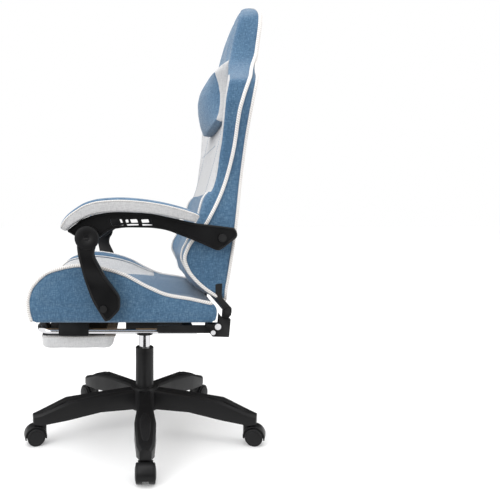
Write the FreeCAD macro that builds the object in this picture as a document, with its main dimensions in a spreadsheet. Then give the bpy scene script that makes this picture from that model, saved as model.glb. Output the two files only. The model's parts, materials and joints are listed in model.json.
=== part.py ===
"""Gaming chair: five-leg castor base, gas lift, bucket seat, reclining backrest and linked armrests.

Millimetres. The origin is on the floor under the gas lift. +Z is up, -Y is the front of the chair
and +X is the sitter's left.
"""
import FreeCAD, Part
import Sketcher
import math
import os
from types import SimpleNamespace
from FreeCAD import Placement, Rotation, Vector

doc = FreeCAD.newDocument("gaming_chair")
sheet = doc.addObject("Spreadsheet::Sheet", "dims")

# ---------------------------------------------------------------- driving dimensions
SIZES = (
    # base and castors
    ("leg_count", 5),
    ("stem_circle_radius", 308),
    ("leg_tip_overhang", 26),
    ("leg_tip_bottom", 58),
    ("leg_tip_depth", 29),
    ("leg_tip_width", 37),
    ("leg_shoulder_radius", 236),
    ("leg_shoulder_width", 57),
    ("leg_neck_width", 44),
    ("leg_top", 132),
    ("leg_wall", 4),
    ("leg_bevel", 6),
    ("hub_radius", 42),
    ("hub_drop", 12),
    ("hub_ring_height", 5),
    ("castor_wheel_radius", 25),
    ("castor_wheel_width", 20),
    ("castor_overall_width", 54),
    ("castor_trail", 20),
    ("castor_hood_width", 37),
    ("castor_hood_wall", 4),
    ("castor_wheel_gap", 1.5),
    ("castor_web", 7),
    ("castor_axle_radius", 3),
    ("castor_stem_radius", 5.5),
    ("castor_stem_grip", 24),
    ("running_gap", 0.05),
    ("joint_gap", 0.5),
    # gas lift
    ("column_radius", 27),
    ("column_wall", 6),
    ("column_bottom", 60),
    ("column_length", 196),
    ("cylinder_radius", 16.5),
    ("cylinder_wall", 2),
    ("cylinder_length", 234),
    ("lift_extension", 38),
    ("bushing_length", 80),
    ("rod_radius", 4),
    ("rod_length", 140),
    # under-seat mechanism
    ("boss_length", 26),
    ("boss_radius", 25),
    ("mechanism_width", 124),
    ("mechanism_depth", 180),
    ("mechanism_height", 44),
    ("mechanism_rear", 125),
    ("cross_bar_height", 6),
    ("sheet_steel", 3),
    ("lever_reach", 236),
    ("lever_radius", 5),
    # seat
    ("seat_width", 512),
    ("seat_front", 299),
    ("seat_rear", 182),
    ("seat_board_thickness", 12),
    ("seat_board_setback", 18),
    ("bolster_width", 76),
    ("bolster_height", 147),
    ("bolster_rear_height", 48),
    ("seat_cushion_height", 80),
    # recliner and backrest
    ("pivot_back", 208),
    ("pivot_rise", 32),
    ("pivot_radius", 7),
    ("recliner_plate", 6),
    ("recliner_inset", 22),
    ("back_length", 830),
    ("back_inset", 4),
    ("back_pad_half", 165),
    ("back_cover", 8),
    ("head_half_width", 140),
    ("frame_tube_radius", 10),
    ("strap_slot_width", 34),
    ("strap_slot_height", 60),
    ("strap_width", 44),
    ("strap_thickness", 4),
    # armrests
    ("arm_pin_back", 188),
    ("arm_pin_rise", 219),
    ("arm_front_joint", 141),
    ("arm_front_rise", 220),
    ("upright_bolt_forward", 104),
    ("upright_bolt_rise", 43),
    ("arm_pin_radius", 6),
    ("upright_bolt_radius", 5),
    ("front_joint_play", 2.2),
    ("arm_gap", 3),
    ("arm_thickness", 25),
    ("arm_front_shift", 5),
    ("arm_pad_width", 64),
    ("joint_disc_radius", 29.5),
    # footrest
    ("rail_radius", 7),
    ("rail_half_width", 170),
    ("rail_drop", 36),
    ("rail_front", 288),
    ("rail_rear", 139),
    ("guide_front", 231),
    ("guide_length", 80),
    ("footrest_setback", 5),
    ("footrest_depth", 203),
    ("footrest_half_width", 158),
    ("footrest_padding", 36),
    ("footrest_board", 8),
)
for row, (alias, value) in enumerate(SIZES, start=1):
    sheet.set(f"A{row}", alias)
    sheet.set(f"B{row}", str(value))
    sheet.setAlias(f"B{row}", alias)
doc.recompute()
d = SimpleNamespace(**{alias: float(sheet.get(alias)) for alias, _ in SIZES})

# heights that follow from the stack of pieces, as expressions and as numbers
COLUMN_TOP = "(dims.column_bottom + dims.column_length)"
BOSS_BOTTOM = f"({COLUMN_TOP} + dims.lift_extension)"
MECHANISM_BOTTOM = f"({BOSS_BOTTOM} + dims.boss_length)"
MECHANISM_TOP = f"({MECHANISM_BOTTOM} + dims.mechanism_height)"
SEAT_BOTTOM = f"({MECHANISM_TOP} + dims.cross_bar_height + dims.seat_board_thickness - 6)"
column_top = d.column_bottom + d.column_length
boss_bottom = column_top + d.lift_extension
mechanism_bottom = boss_bottom + d.boss_length
mechanism_top = mechanism_bottom + d.mechanism_height
board_bottom = mechanism_top + d.cross_bar_height
board_top = board_bottom + d.seat_board_thickness
seat_bottom = board_top - 6
pivot = (d.pivot_back, seat_bottom + d.pivot_rise)
arm_pin = (d.arm_pin_back, seat_bottom + d.arm_pin_rise)
front_joint = (-d.arm_front_joint, seat_bottom + d.arm_front_rise)
upright_bolt = (-d.upright_bolt_forward, seat_bottom + d.upright_bolt_rise)
seat_half = d.seat_width / 2
BOARD_HALF = "(dims.seat_width / 2 - dims.bolster_width - 1)"
RECLINER_INNER = "(dims.seat_width / 2 - dims.recliner_inset)"
board_half = seat_half - d.bolster_width - 1
recliner_inner = seat_half - d.recliner_inset
back_half = seat_half - d.back_inset
arm_inner = seat_half + d.arm_gap

parts = {}


# ---------------------------------------------------------------- helpers
def keep(label, obj):
    """Name a finished sub-part, which also names its file."""
    obj.Label = label
    parts[label] = obj
    return obj


def bind(obj, **expressions):
    """Bind properties to sheet expressions; a double underscore stands for a dot."""
    for name, expression in expressions.items():
        obj.setExpression(name.replace("__", "."), expression)
    return obj


TURNS = {
    "Z": Rotation(),
    "X": Rotation(Vector(0, 1, 0), 90),
    "Y": Rotation(Vector(1, 0, 0), -90),
}


def rod(name, radius, length, x="0", y="0", z="0", axis="Z"):
    """Round bar from (x, y, z) along an axis, all given as sheet expressions."""
    bar = doc.addObject("Part::Cylinder", name)
    bar.Placement = Placement(Vector(), TURNS[axis])
    return bind(bar, Radius=radius, Height=length,
                Placement__Base__x=x, Placement__Base__y=y, Placement__Base__z=z)


def block(name, length, width, height, x, y, z):
    """Box whose lowest corner is (x, y, z), all given as sheet expressions."""
    box = doc.addObject("Part::Box", name)
    return bind(box, Length=length, Width=width, Height=height,
                Placement__Base__x=x, Placement__Base__y=y, Placement__Base__z=z)


def fused(name, *shapes):
    join = doc.addObject("Part::MultiFuse", name)
    join.Shapes = list(shapes)
    join.Refine = True
    return join


def cut(name, base, *tools):
    tool = tools[0] if len(tools) == 1 else fused(name + "_tools", *tools)
    difference = doc.addObject("Part::Cut", name)
    difference.Base = base
    difference.Tool = tool
    difference.Refine = True
    return difference


def group(name, *shapes):
    compound = doc.addObject("Part::Compound", name)
    compound.Links = list(shapes)
    return compound


def turned(name, source, angle):
    """Copy of a piece turned about the chair's upright axis."""
    copy = group(name, source)
    copy.Placement = Placement(Vector(), Rotation(Vector(0, 0, 1), angle))
    return copy


def mirrored(name, source):
    """The same piece on the sitter's right."""
    mirror = doc.addObject("Part::Mirroring", name)
    mirror.Source = source
    mirror.Base = Vector()
    mirror.Normal = Vector(1, 0, 0)
    return mirror


def solid(name, shape):
    feature = doc.addObject("Part::Feature", name)
    feature.Shape = shape
    return feature


def outline(corners, place):
    """Closed wire of straight runs joined by tangent arcs; a corner is (u, v, radius)."""
    runs = []
    count = len(corners)
    for index, (u, v, radius) in enumerate(corners):
        here = Vector(u, v, 0)
        before = Vector(*corners[index - 1][:2], 0) - here
        after = Vector(*corners[(index + 1) % count][:2], 0) - here
        reach = 0.49 * min(before.Length, after.Length)
        before.normalize()
        after.normalize()
        half = before.getAngle(after) / 2
        tangent = min(radius / math.tan(half), reach)
        if tangent < 0.01 or half > 1.565:
            runs.append((here, here, here))
            continue
        radius = tangent * math.tan(half)
        inward = (before + after).normalize()
        middle = here + inward * (radius / math.sin(half) - radius)
        runs.append((here + before * tangent, middle, here + after * tangent))
    edges = []
    for index, (start, middle, end) in enumerate(runs):
        if (end - start).Length > 0.01:
            edges.append(Part.Arc(place(start), place(middle), place(end)).toShape())
        following = runs[(index + 1) % count][0]
        if (following - end).Length > 0.01:
            edges.append(Part.LineSegment(place(end), place(following)).toShape())
    return Part.Wire(edges)


def side_prism(corners, x_low, x_high):
    """Side outline of (y, z, radius) corners, drawn out across the chair."""
    wire = outline(corners, lambda p: Vector(x_low, p.x, p.y))
    return Part.Face(wire).extrude(Vector(x_high - x_low, 0, 0))


def front_prism(corners, y_low, y_high):
    """Front outline of (x, z, radius) corners, drawn out from front to back."""
    wire = outline(corners, lambda p: Vector(p.x, y_low, p.y))
    return Part.Face(wire).extrude(Vector(0, y_high - y_low, 0))


def plan_prism(corners, z_low, z_high):
    """Plan outline of (x, y, radius) corners, drawn out upwards."""
    wire = outline(corners, lambda p: Vector(p.x, p.y, z_low))
    return Part.Face(wire).extrude(Vector(0, 0, z_high - z_low))


def across(radius, x_low, x_high, centre):
    """Round bar across the chair at a (y, z) centre."""
    return Part.makeCylinder(radius, x_high - x_low, Vector(x_low, *centre), Vector(1, 0, 0))


def tube_run(points, radius):
    """Straight round tubes between points, with ball corners."""
    shape = None
    for start, end in zip(points, points[1:]):
        run = Part.makeCylinder(radius, (end - start).Length, start, end - start)
        shape = run if shape is None else shape.fuse(run)
    for corner in points[1:-1]:
        shape = shape.fuse(Part.makeSphere(radius, corner))
    return shape


def flipped(corners):
    """Right-hand outline of (x, ...) corners from the left-hand one."""
    return [(-x, other, radius) for x, other, radius in reversed(corners)]


def both_sides(corners):
    """Closed outline from the corners of its left half, listed from bottom to top."""
    return list(corners) + flipped(corners)


# ---------------------------------------------------------------- base star
def origin_feature(body, role):
    return next(f for f in body.Origin.OriginFeatures if f.Role == role)


def leg_section(body, name, reach, half_width, low, high, bevel):
    """Upright six-sided section of a leg at a distance from the hub."""
    sketch = body.newObject("Sketcher::SketchObject", name)
    sketch.AttachmentSupport = (origin_feature(body, "YZ_Plane"), [""])
    sketch.MapMode = "FlatFace"
    sketch.setExpression("AttachmentOffset.Base.z", reach)
    corners = (
        (f"-({half_width})", low),
        (half_width, low),
        (half_width, f"{high} - {bevel}"),
        (f"{half_width} - {bevel}", high),
        (f"-({half_width}) + {bevel}", high),
        (f"-({half_width})", f"{high} - {bevel}"),
    )
    guess = ((-20, 60), (20, 60), (20, 85), (15, 90), (-15, 90), (-20, 85))
    for index, start in enumerate(guess):
        end = guess[(index + 1) % len(guess)]
        sketch.addGeometry(Part.LineSegment(Vector(*start, 0), Vector(*end, 0)))
    for index in range(len(guess)):
        sketch.addConstraint(Sketcher.Constraint("Coincident", index, 2, (index + 1) % len(guess), 1))
    for index, (sideways, upwards) in enumerate(corners):
        for kind, expression, value in (("DistanceX", sideways, guess[index][0]),
                                        ("DistanceY", upwards, guess[index][1])):
            number = sketch.addConstraint(Sketcher.Constraint(kind, -1, 1, index, 1, value))
            sketch.setExpression(f"Constraints[{number}]", expression)
    return sketch


def add_base_star():
    body = doc.addObject("PartDesign::Body", "base_star")
    keep("base_star", body)
    hub = body.newObject("PartDesign::AdditiveCylinder", "hub")
    bind(hub, Radius="dims.hub_radius", Height="dims.leg_top - dims.leg_tip_bottom - dims.hub_drop")
    hub.AttachmentSupport = (origin_feature(body, "XY_Plane"), [""])
    hub.MapMode = "FlatFace"
    hub.setExpression("AttachmentOffset.Base.z", "dims.leg_tip_bottom + dims.hub_drop")
    bore = body.newObject("PartDesign::SubtractiveCylinder", "column_bore")
    bore.AttachmentSupport = (origin_feature(body, "XY_Plane"), [""])
    bore.MapMode = "FlatFace"
    bind(bore, Radius="dims.column_radius", Height="dims.leg_top * 2")
    tip_reach = "dims.stem_circle_radius + dims.leg_tip_overhang"
    tip_top = "dims.leg_tip_bottom + dims.leg_tip_depth"
    low = "dims.leg_tip_bottom"
    neck_half = "dims.leg_neck_width / 2"
    shoulder_half = "dims.leg_shoulder_width / 2"
    stations = (
        # reach, half width, bottom, top
        ("dims.column_radius + 4", neck_half, f"{low} + 16", "dims.leg_top"),
        ("dims.leg_shoulder_radius * 0.6", neck_half, f"{low} + 19", "dims.leg_top - 5"),
        ("dims.leg_shoulder_radius", shoulder_half, f"{low} + 9", "dims.leg_top - 13"),
        (f"{tip_reach} - 22", "dims.leg_tip_width / 2 + 4", low, f"{tip_top} + 4"),
        (tip_reach, "dims.leg_tip_width / 2 - 4", f"{low} + 2", f"{tip_top} - 1"),
    )
    legs = body.newObject("PartDesign::AdditiveLoft", "leg")
    sections = [leg_section(body, f"leg_section_{i}", *s, "dims.leg_bevel") for i, s in enumerate(stations)]
    legs.Profile = sections[0]
    legs.Sections = sections[1:]
    legs.Ruled = True
    channel = body.newObject("PartDesign::SubtractiveLoft", "leg_channel")
    hollow = (
        ("dims.hub_radius + 6", f"{neck_half} - dims.leg_wall", low, "dims.leg_top - 1 - dims.leg_wall"),
        ("dims.leg_shoulder_radius * 0.6", f"{neck_half} - dims.leg_wall", low,
         "dims.leg_top - 5 - dims.leg_wall"),
        ("dims.leg_shoulder_radius", f"{shoulder_half} - dims.leg_wall", low,
         "dims.leg_top - 13 - dims.leg_wall"),
        ("dims.stem_circle_radius - 28", "dims.leg_tip_width / 2 + 2 - dims.leg_wall",
         f"{low} - 10", f"{tip_top} + 12 - dims.leg_wall"),
    )
    hollows = [leg_section(body, f"hollow_section_{i}", *s, "2") for i, s in enumerate(hollow)]
    channel.Profile = hollows[0]
    channel.Sections = hollows[1:]
    channel.Ruled = True
    socket = body.newObject("PartDesign::SubtractiveCylinder", "stem_socket")
    socket.AttachmentSupport = (origin_feature(body, "XY_Plane"), [""])
    socket.MapMode = "FlatFace"
    bind(socket, Radius="dims.castor_stem_radius", Height="dims.castor_stem_grip + 1")
    socket.setExpression("AttachmentOffset.Base.x", "dims.stem_circle_radius")
    socket.setExpression("AttachmentOffset.Base.z", "dims.leg_tip_bottom - 1")
    pattern = body.newObject("PartDesign::PolarPattern", "five_legs")
    pattern.Originals = [legs, channel, socket]
    pattern.Axis = (origin_feature(body, "Z_Axis"), [""])
    pattern.Angle = 360
    pattern.setExpression("Occurrences", "dims.leg_count")
    body.Tip = pattern


add_base_star()
ring = cut("ring_cut", rod("ring_outer", "dims.hub_radius", "dims.hub_ring_height", z="dims.leg_top"),
           rod("ring_bore", "dims.column_radius", "dims.hub_ring_height", z="dims.leg_top"))
keep("hub_ring", ring)


# ---------------------------------------------------------------- castors
def castor_hood(x):
    """Hood over twin wheels that trail outwards of a stem at radius x."""
    axle_x = x + d.castor_trail
    axle = Vector(axle_x, 0, d.castor_wheel_radius)
    clear = d.castor_wheel_radius + d.castor_wheel_gap
    half = d.castor_hood_width / 2
    top = d.leg_tip_bottom - d.joint_gap

    def bar(radius, low, high):
        return Part.makeCylinder(radius, high - low, axle + Vector(0, low, 0), Vector(0, 1, 0))

    dome = bar(clear + d.castor_hood_wall, -half, half)
    boss_base = d.castor_wheel_radius + 4
    boss = Part.makeCylinder(d.castor_stem_radius + 6, top - boss_base, Vector(x, 0, boss_base))
    shape = dome.fuse(boss)
    low_cut = Part.makeBox(120, 80, 40, Vector(x - 40, -40, d.castor_wheel_radius - 46))
    shape = shape.cut(low_cut)
    for low, high in ((-40, -d.castor_web / 2), (d.castor_web / 2, 40)):
        shape = shape.cut(bar(clear, low, high))
    stem_bore = Part.makeCylinder(d.castor_stem_radius + d.running_gap, 40, Vector(x, 0, stem_bottom - 0.5))
    shape = shape.cut(stem_bore)
    shape = shape.cut(bar(d.castor_axle_radius, -40, 40))
    return shape


def castor_wheels(x):
    """Two domed wheels on one axle."""
    radius = d.castor_wheel_radius
    half = d.castor_overall_width / 2
    inner = half - d.castor_wheel_width
    hole = d.castor_axle_radius + d.running_gap
    profile = [
        Vector(hole, inner, 0),
        Vector(radius - 1.5, inner, 0),
        Vector(radius, inner + 1.5, 0),
        Vector(radius, half - 6, 0),
        Vector(radius - 3, half - 2.5, 0),
        Vector(radius * 0.5, half, 0),
        Vector(hole, half, 0),
    ]
    wheels = []
    for side in (1, -1):
        ring = [Vector(p.x, side * p.y, 0) for p in profile]
        wire = Part.makePolygon(ring + ring[:1])
        wheel = Part.Face(wire).revolve(Vector(), Vector(0, 1, 0), 360)
        wheel.translate(Vector(x + d.castor_trail, 0, radius))
        wheels.append(wheel)
    return Part.makeCompound(wheels)


wheel_clear = d.castor_wheel_radius + d.castor_wheel_gap
stem_overlap = max(d.castor_trail - d.castor_stem_radius - 1, 0)
stem_bottom = d.castor_wheel_radius + math.sqrt(wheel_clear ** 2 - stem_overlap ** 2)
stem_x = d.stem_circle_radius
stem = Part.makeCylinder(d.castor_stem_radius, d.leg_tip_bottom + d.castor_stem_grip - stem_bottom,
                         Vector(stem_x, 0, stem_bottom))
axle_bar = Part.makeCylinder(d.castor_axle_radius, d.castor_overall_width - 4,
                             Vector(stem_x + d.castor_trail, 2 - d.castor_overall_width / 2,
                                    d.castor_wheel_radius), Vector(0, 1, 0))
stem_proto = solid("stem_proto", stem)
hood_proto = solid("hood_proto", castor_hood(stem_x))
axle_proto = solid("axle_proto", axle_bar)
wheels_proto = solid("wheels_proto", castor_wheels(stem_x))
leg_count = int(d.leg_count)
stems = [turned(f"stem_{n + 1}", stem_proto, n * 360 / leg_count) for n in range(leg_count)]
keep("castor_stems", group("stem_group", *stems))
for n in range(leg_count):
    angle = n * 360 / leg_count
    keep(f"castor_{n + 1}_hood", turned(f"hood_{n + 1}", hood_proto, angle))
    keep(f"castor_{n + 1}_axle", turned(f"axle_{n + 1}", axle_proto, angle))
    keep(f"castor_{n + 1}_wheels", turned(f"wheels_{n + 1}", wheels_proto, angle))

# ---------------------------------------------------------------- gas lift
column = cut(
    "column_cut",
    rod("column_outer", "dims.column_radius", "dims.column_length", z="dims.column_bottom"),
    rod("column_inner", "dims.column_radius - dims.column_wall", "dims.column_length",
        z="dims.column_bottom + dims.leg_wall"),
    rod("column_rod_hole", "dims.rod_radius + dims.running_gap", "20", z="dims.column_bottom - 5"),
)
keep("gas_column", column)
bushing_bottom = f"{COLUMN_TOP} - dims.bushing_length"
keep("column_bushing", cut(
    "bushing_cut",
    rod("bushing_outer", "dims.column_radius - dims.column_wall", "dims.bushing_length", z=bushing_bottom),
    rod("bushing_bore", "dims.cylinder_radius + dims.running_gap", "dims.bushing_length", z=bushing_bottom),
))
keep("thrust_bearing", cut(
    "bearing_cut",
    rod("bearing_outer", "dims.column_radius - dims.column_wall - 1", "6",
        z="dims.column_bottom + dims.leg_wall"),
    rod("bearing_bore", "dims.rod_radius + 0.3", "6", z="dims.column_bottom + dims.leg_wall"),
))
rod_bottom = "dims.column_bottom - 6"
piston_rod = fused(
    "rod_fuse",
    rod("rod_shank", "dims.rod_radius", "dims.rod_length", z=rod_bottom),
    rod("rod_shoulder", "dims.rod_radius + 3", "4", z="dims.column_bottom + dims.leg_wall + 6.5"),
    rod("rod_piston", "dims.cylinder_radius - dims.cylinder_wall - dims.running_gap", "14",
        z=f"{rod_bottom} + dims.rod_length - 14"),
)
keep("lift_rod", piston_rod)
keep("rod_clip", cut(
    "clip_cut",
    rod("clip_disc", "dims.rod_radius + 5", "2", z="dims.column_bottom - 3"),
    rod("clip_bore", "dims.rod_radius", "2", z="dims.column_bottom - 3"),
))
cylinder_top = f"{MECHANISM_BOTTOM} + 24"
cylinder_bottom = f"{cylinder_top} - dims.cylinder_length"
keep("gas_cylinder", cut(
    "cylinder_cut",
    rod("cylinder_outer", "dims.cylinder_radius", "dims.cylinder_length", z=cylinder_bottom),
    rod("cylinder_bore", "dims.cylinder_radius - dims.cylinder_wall", "dims.cylinder_length - 22",
        z=f"{cylinder_bottom} + 8"),
    rod("cylinder_gland", "dims.rod_radius + dims.running_gap", "20", z=f"{cylinder_bottom} - 5"),
))

# ---------------------------------------------------------------- under-seat mechanism
housing_front = "dims.mechanism_rear - dims.mechanism_depth"
housing = cut(
    "housing_cut",
    fused(
        "housing_fuse",
        block("housing_box", "dims.mechanism_width", "dims.mechanism_depth", "dims.mechanism_height",
              "-dims.mechanism_width / 2", housing_front, MECHANISM_BOTTOM),
        rod("housing_boss", "dims.boss_radius", "dims.boss_length + 2", z=BOSS_BOTTOM),
        block("cross_bar_front", f"2 * {BOARD_HALF}", "26", "dims.cross_bar_height",
              f"-{BOARD_HALF}", f"{housing_front} + 4", MECHANISM_TOP),
        block("cross_bar_rear", f"2 * {RECLINER_INNER}", "26", "dims.cross_bar_height",
              f"-{RECLINER_INNER}", "dims.mechanism_rear - 30", MECHANISM_TOP),
    ),
    rod("housing_bore", "dims.cylinder_radius", "dims.boss_length + 24", z=BOSS_BOTTOM),
    block("housing_hollow_rear", "dims.mechanism_width - 2 * dims.sheet_steel",
          "dims.mechanism_rear - dims.boss_radius - 2 * dims.sheet_steel",
          "dims.mechanism_height - dims.sheet_steel + 1",
          "dims.sheet_steel - dims.mechanism_width / 2", "dims.boss_radius + dims.sheet_steel",
          f"{MECHANISM_BOTTOM} - 1"),
)
keep("mechanism_housing", housing)

lever_z = mechanism_top - 8
lever_y = 0
lever_root = -(d.mechanism_width / 2 + d.lever_radius + 1.5)
lever_bend = -(d.rail_half_width + 15)
lever_tip = lever_root - d.lever_reach
paddle_root = lever_tip + 50
lever_path = (Vector(lever_root, lever_y, lever_z), Vector(lever_bend, lever_y, lever_z),
              Vector(paddle_root, lever_y, lever_z - 14))
paddle_plan = ((lever_tip, lever_y - 16, 10), (lever_tip, lever_y + 16, 10),
               (paddle_root + 20, lever_y + 10, 8), (paddle_root + 20, lever_y - 10, 8))
paddle = plan_prism(paddle_plan, lever_z - 22, lever_z - 10)
lever_barrel = Part.makeCylinder(d.lever_radius + 1, 20, Vector(lever_root, lever_y - 10, lever_z),
                                 Vector(0, 1, 0))
lever = tube_run(lever_path, d.lever_radius).fuse(paddle).fuse(lever_barrel)
keep("height_lever", solid("height_lever_shape", lever))

# ---------------------------------------------------------------- seat
board = block("board_plate", f"2 * {BOARD_HALF}",
              "dims.seat_front + dims.seat_rear - 12 - dims.seat_board_setback", "dims.seat_board_thickness",
              f"-{BOARD_HALF}", "dims.seat_board_setback - dims.seat_front",
              f"{MECHANISM_TOP} + dims.cross_bar_height")
keep("seat_board", board)

bolster_inner = seat_half - d.bolster_width
front = -d.seat_front
bolster_side = (
    (front + 14, seat_bottom, 14),
    (front, seat_bottom + 56, 60),
    (front + 10, seat_bottom + 102, 34),
    (front + 62, seat_bottom + d.bolster_height - 6, 60),
    (front + 130, seat_bottom + d.bolster_height + 2, 70),
    (front + 205, seat_bottom + d.bolster_height - 20, 120),
    (front + 290, seat_bottom + 78, 160),
    (front + 400, seat_bottom + 62, 160),
    (d.seat_rear, seat_bottom + d.bolster_rear_height - 3, 6),
    (d.seat_rear - 2, seat_bottom, 12),
)
bolster_front = (
    (bolster_inner + 0.5, seat_bottom, 0),
    (seat_half - 4, seat_bottom, 12),
    (seat_half, seat_bottom + 40, 60),
    (seat_half - 5, seat_bottom + d.bolster_height + 6, 26),
    (bolster_inner + 26, seat_bottom + d.bolster_height + 2, 30),
    (bolster_inner + 0.5, seat_bottom + d.seat_cushion_height + 4, 20),
)
bolster = side_prism(bolster_side, bolster_inner, seat_half + 1).common(
    front_prism(bolster_front, front - 1, d.seat_rear + 1))
board_edge = Part.makeBox(4, d.seat_front + d.seat_rear + 4, d.seat_board_thickness + 4,
                          Vector(board_half - 4, front - 2, board_bottom - 4))
bolt_seat = across(d.upright_bolt_radius, seat_half - 26, seat_half + 2, upright_bolt)
bolster = bolster.cut(bolt_seat).cut(board_edge)
left_bolster = solid("bolster_shape", bolster)
keep("seat_bolster_left", left_bolster)
keep("seat_bolster_right", mirrored("bolster_mirror", left_bolster))

cushion_side = (
    (front + 22, board_top, 8),
    (front + 2, board_top + 8, 10),
    (front + 2, board_top + 44, 34),
    (front + 60, seat_bottom + d.seat_cushion_height, 60),
    (d.seat_rear - 70, seat_bottom + d.seat_cushion_height - 6, 40),
    (d.seat_rear - 6, seat_bottom + d.bolster_rear_height - 6, 16),
    (d.seat_rear - 8, board_top, 8),
)
keep("seat_cushion", solid("cushion_shape", side_prism(cushion_side, -bolster_inner, bolster_inner)))

# ---------------------------------------------------------------- footrest
rail_z = seat_bottom - d.rail_drop
rail_bend = 40
half_rail = d.rail_half_width
rail_axis = -d.rail_front


def bent_tube(points, bend, radius):
    """Tube along straight runs joined by arcs of one bend radius, in one plane."""
    edges = []
    last = points[0]
    for before, here, after in zip(points, points[1:], points[2:]):
        behind = (before - here).normalize()
        ahead = (after - here).normalize()
        half = behind.getAngle(ahead) / 2
        reach = bend / math.tan(half)
        middle = here + (behind + ahead).normalize() * (bend / math.sin(half) - bend)
        edges.append(Part.LineSegment(last, here + behind * reach).toShape())
        edges.append(Part.Arc(here + behind * reach, middle, here + ahead * reach).toShape())
        last = here + ahead * reach
    edges.append(Part.LineSegment(last, points[-1]).toShape())
    path = Part.Wire(edges)
    ring = Part.Wire(Part.Circle(points[0], points[1] - points[0], radius).toShape())
    return path.makePipeShell([ring], True, False)


rails = bent_tube(
    (Vector(half_rail, d.rail_rear, rail_z), Vector(half_rail, rail_axis, rail_z),
     Vector(-half_rail, rail_axis, rail_z), Vector(-half_rail, d.rail_rear, rail_z)),
    rail_bend, d.rail_radius)
keep("footrest_rails", solid("rails_shape", rails))

guide_drop = d.rail_radius + 4
guide_rear = d.guide_length - d.guide_front
guide_side = ((-d.guide_front, rail_z - guide_drop, 4), (guide_rear, rail_z - guide_drop, 4),
              (guide_rear, board_bottom, 0), (-d.guide_front, board_bottom, 0))
guide = side_prism(guide_side, half_rail - 11, half_rail + 9)
guide_bore = Part.makeCylinder(d.rail_radius + d.running_gap, d.guide_length + 4,
                               Vector(half_rail, -d.guide_front - 2, rail_z), Vector(0, 1, 0))
left_guide = solid("guide_shape", guide.cut(guide_bore))
keep("footrest_guides", group("guide_pair", left_guide, mirrored("guide_mirror", left_guide)))

rest_front = rail_axis + d.footrest_setback
rest_top = rail_z - d.rail_radius
board_low = rest_top - d.footrest_board
rest_low = board_low - d.footrest_padding
rest_rear = rest_front + d.footrest_depth
hinge_half = 26
board_side = (
    (rest_front + 4, board_low, 0),
    (rest_rear - 30, board_low, 0),
    (rest_rear - 30, rest_top, 0),
    (rest_front + 4, rest_top, 3),
)
footrest_plate = side_prism(board_side, -d.footrest_half_width + 6, d.footrest_half_width - 6)
for hinge_x in (-90, 90):
    knuckle = side_prism(((rail_axis - 11, rail_z - 8, 8), (rest_front + 12, rest_top - 3, 0),
                          (rest_front + 12, rest_top + 4, 3), (rail_axis + 10, rail_z + 10, 6),
                          (rail_axis - 11, rail_z + 10, 8)),
                         hinge_x - hinge_half, hinge_x + hinge_half)
    footrest_plate = footrest_plate.fuse(knuckle)
footrest_plate = footrest_plate.cut(across(d.rail_radius + d.running_gap, -d.footrest_half_width,
                                           d.footrest_half_width, (rail_axis, rail_z)))
keep("footrest_board", solid("footrest_board_shape", footrest_plate))
padding_side = (
    (rest_front, board_low, 4),
    (rest_front, rest_low + 12, 24),
    (rest_front + 22, rest_low, 24),
    (rest_rear - 14, rest_low + 8, 30),
    (rest_rear, board_low - 10, 8),
    (rest_rear - 4, board_low, 4),
)
keep("footrest_pad", solid("footrest_pad_shape", side_prism(
    padding_side, -d.footrest_half_width, d.footrest_half_width)))

# ---------------------------------------------------------------- recliner
plate_inner = recliner_inner
plate_outer = plate_inner + d.recliner_plate
swing_inner = plate_outer + d.joint_gap
swing_outer = swing_inner + d.recliner_plate
eye = 11


def from_pivot(forward, up, radius=0):
    return (pivot[0] - forward, pivot[1] + up, radius)


seat_plate_side = (
    (30, mechanism_top - 14, 6),
    (pivot[0] - 4, mechanism_top - 14, 10),
    from_pivot(0, -24, 20),
    from_pivot(-eye, -eye, 8),
    from_pivot(-eye, eye, eye),
    from_pivot(eye, eye, eye),
    from_pivot(eye + 2, -26, 6),
    (pivot[0] - 40, board_bottom, 6),
    (30, board_bottom, 4),
)
seat_plate = side_prism(seat_plate_side, plate_inner, plate_outer)
seat_plate = seat_plate.cut(across(d.pivot_radius, plate_inner - 1, plate_outer + 1, pivot))
left_plate = solid("seat_plate_shape", seat_plate)
keep("recliner_plate_left", left_plate)
keep("recliner_plate_right", mirrored("seat_plate_mirror", left_plate))
SHAFT_HALF = f"({RECLINER_INNER} + dims.recliner_plate * 2 + 6)"
keep("recliner_shaft", rod("shaft_bar", "dims.pivot_radius", f"2 * {SHAFT_HALF}", x=f"-{SHAFT_HALF}",
                           y="dims.pivot_back", z=f"{SEAT_BOTTOM} + dims.pivot_rise", axis="X"))
cover_outer = swing_outer + 8
cover_inner = plate_inner - 10
cover_side = (
    (pivot[0] - 54, seat_bottom - 1, 0),
    (pivot[0] - 54, seat_bottom - 12, 6),
    (pivot[0] - 38, seat_bottom - 32, 4),
    (pivot[0] + 4, seat_bottom - 33, 3),
    (pivot[0] + 8, seat_bottom + 20, 3),
    (pivot[0], seat_bottom + 30 - eye + 9, 4),
    (pivot[0] - 20, seat_bottom + 26, 3),
    (pivot[0] - 22, seat_bottom - 1, 0),
)
cover = side_prism(cover_side, cover_inner, cover_outer)
plate_room = Part.makeBox(swing_outer + 2 - plate_inner + 1, 80, 80,
                          Vector(plate_inner - 1, pivot[0] - 76, seat_bottom - 29))
cover = cover.cut(plate_room)
cover = cover.cut(across(d.pivot_radius + 14, cover_inner - 1, cover_outer + 1, pivot))
left_cover = solid("cover_shape", cover)
keep("recliner_cover_left", left_cover)
keep("recliner_cover_right", mirrored("cover_mirror", left_cover))
bolt_spots = ((8, (pivot[0] - 25, seat_bottom - 6)), (6, (pivot[0] - 37, seat_bottom - 21)))
bolts = [across(radius, cover_outer, cover_outer + 4, spot) for radius, spot in bolt_spots]
handle_x = -(cover_outer + 4.5)
handle_pivot = (pivot[0] - 30, seat_bottom - 8)
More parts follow.
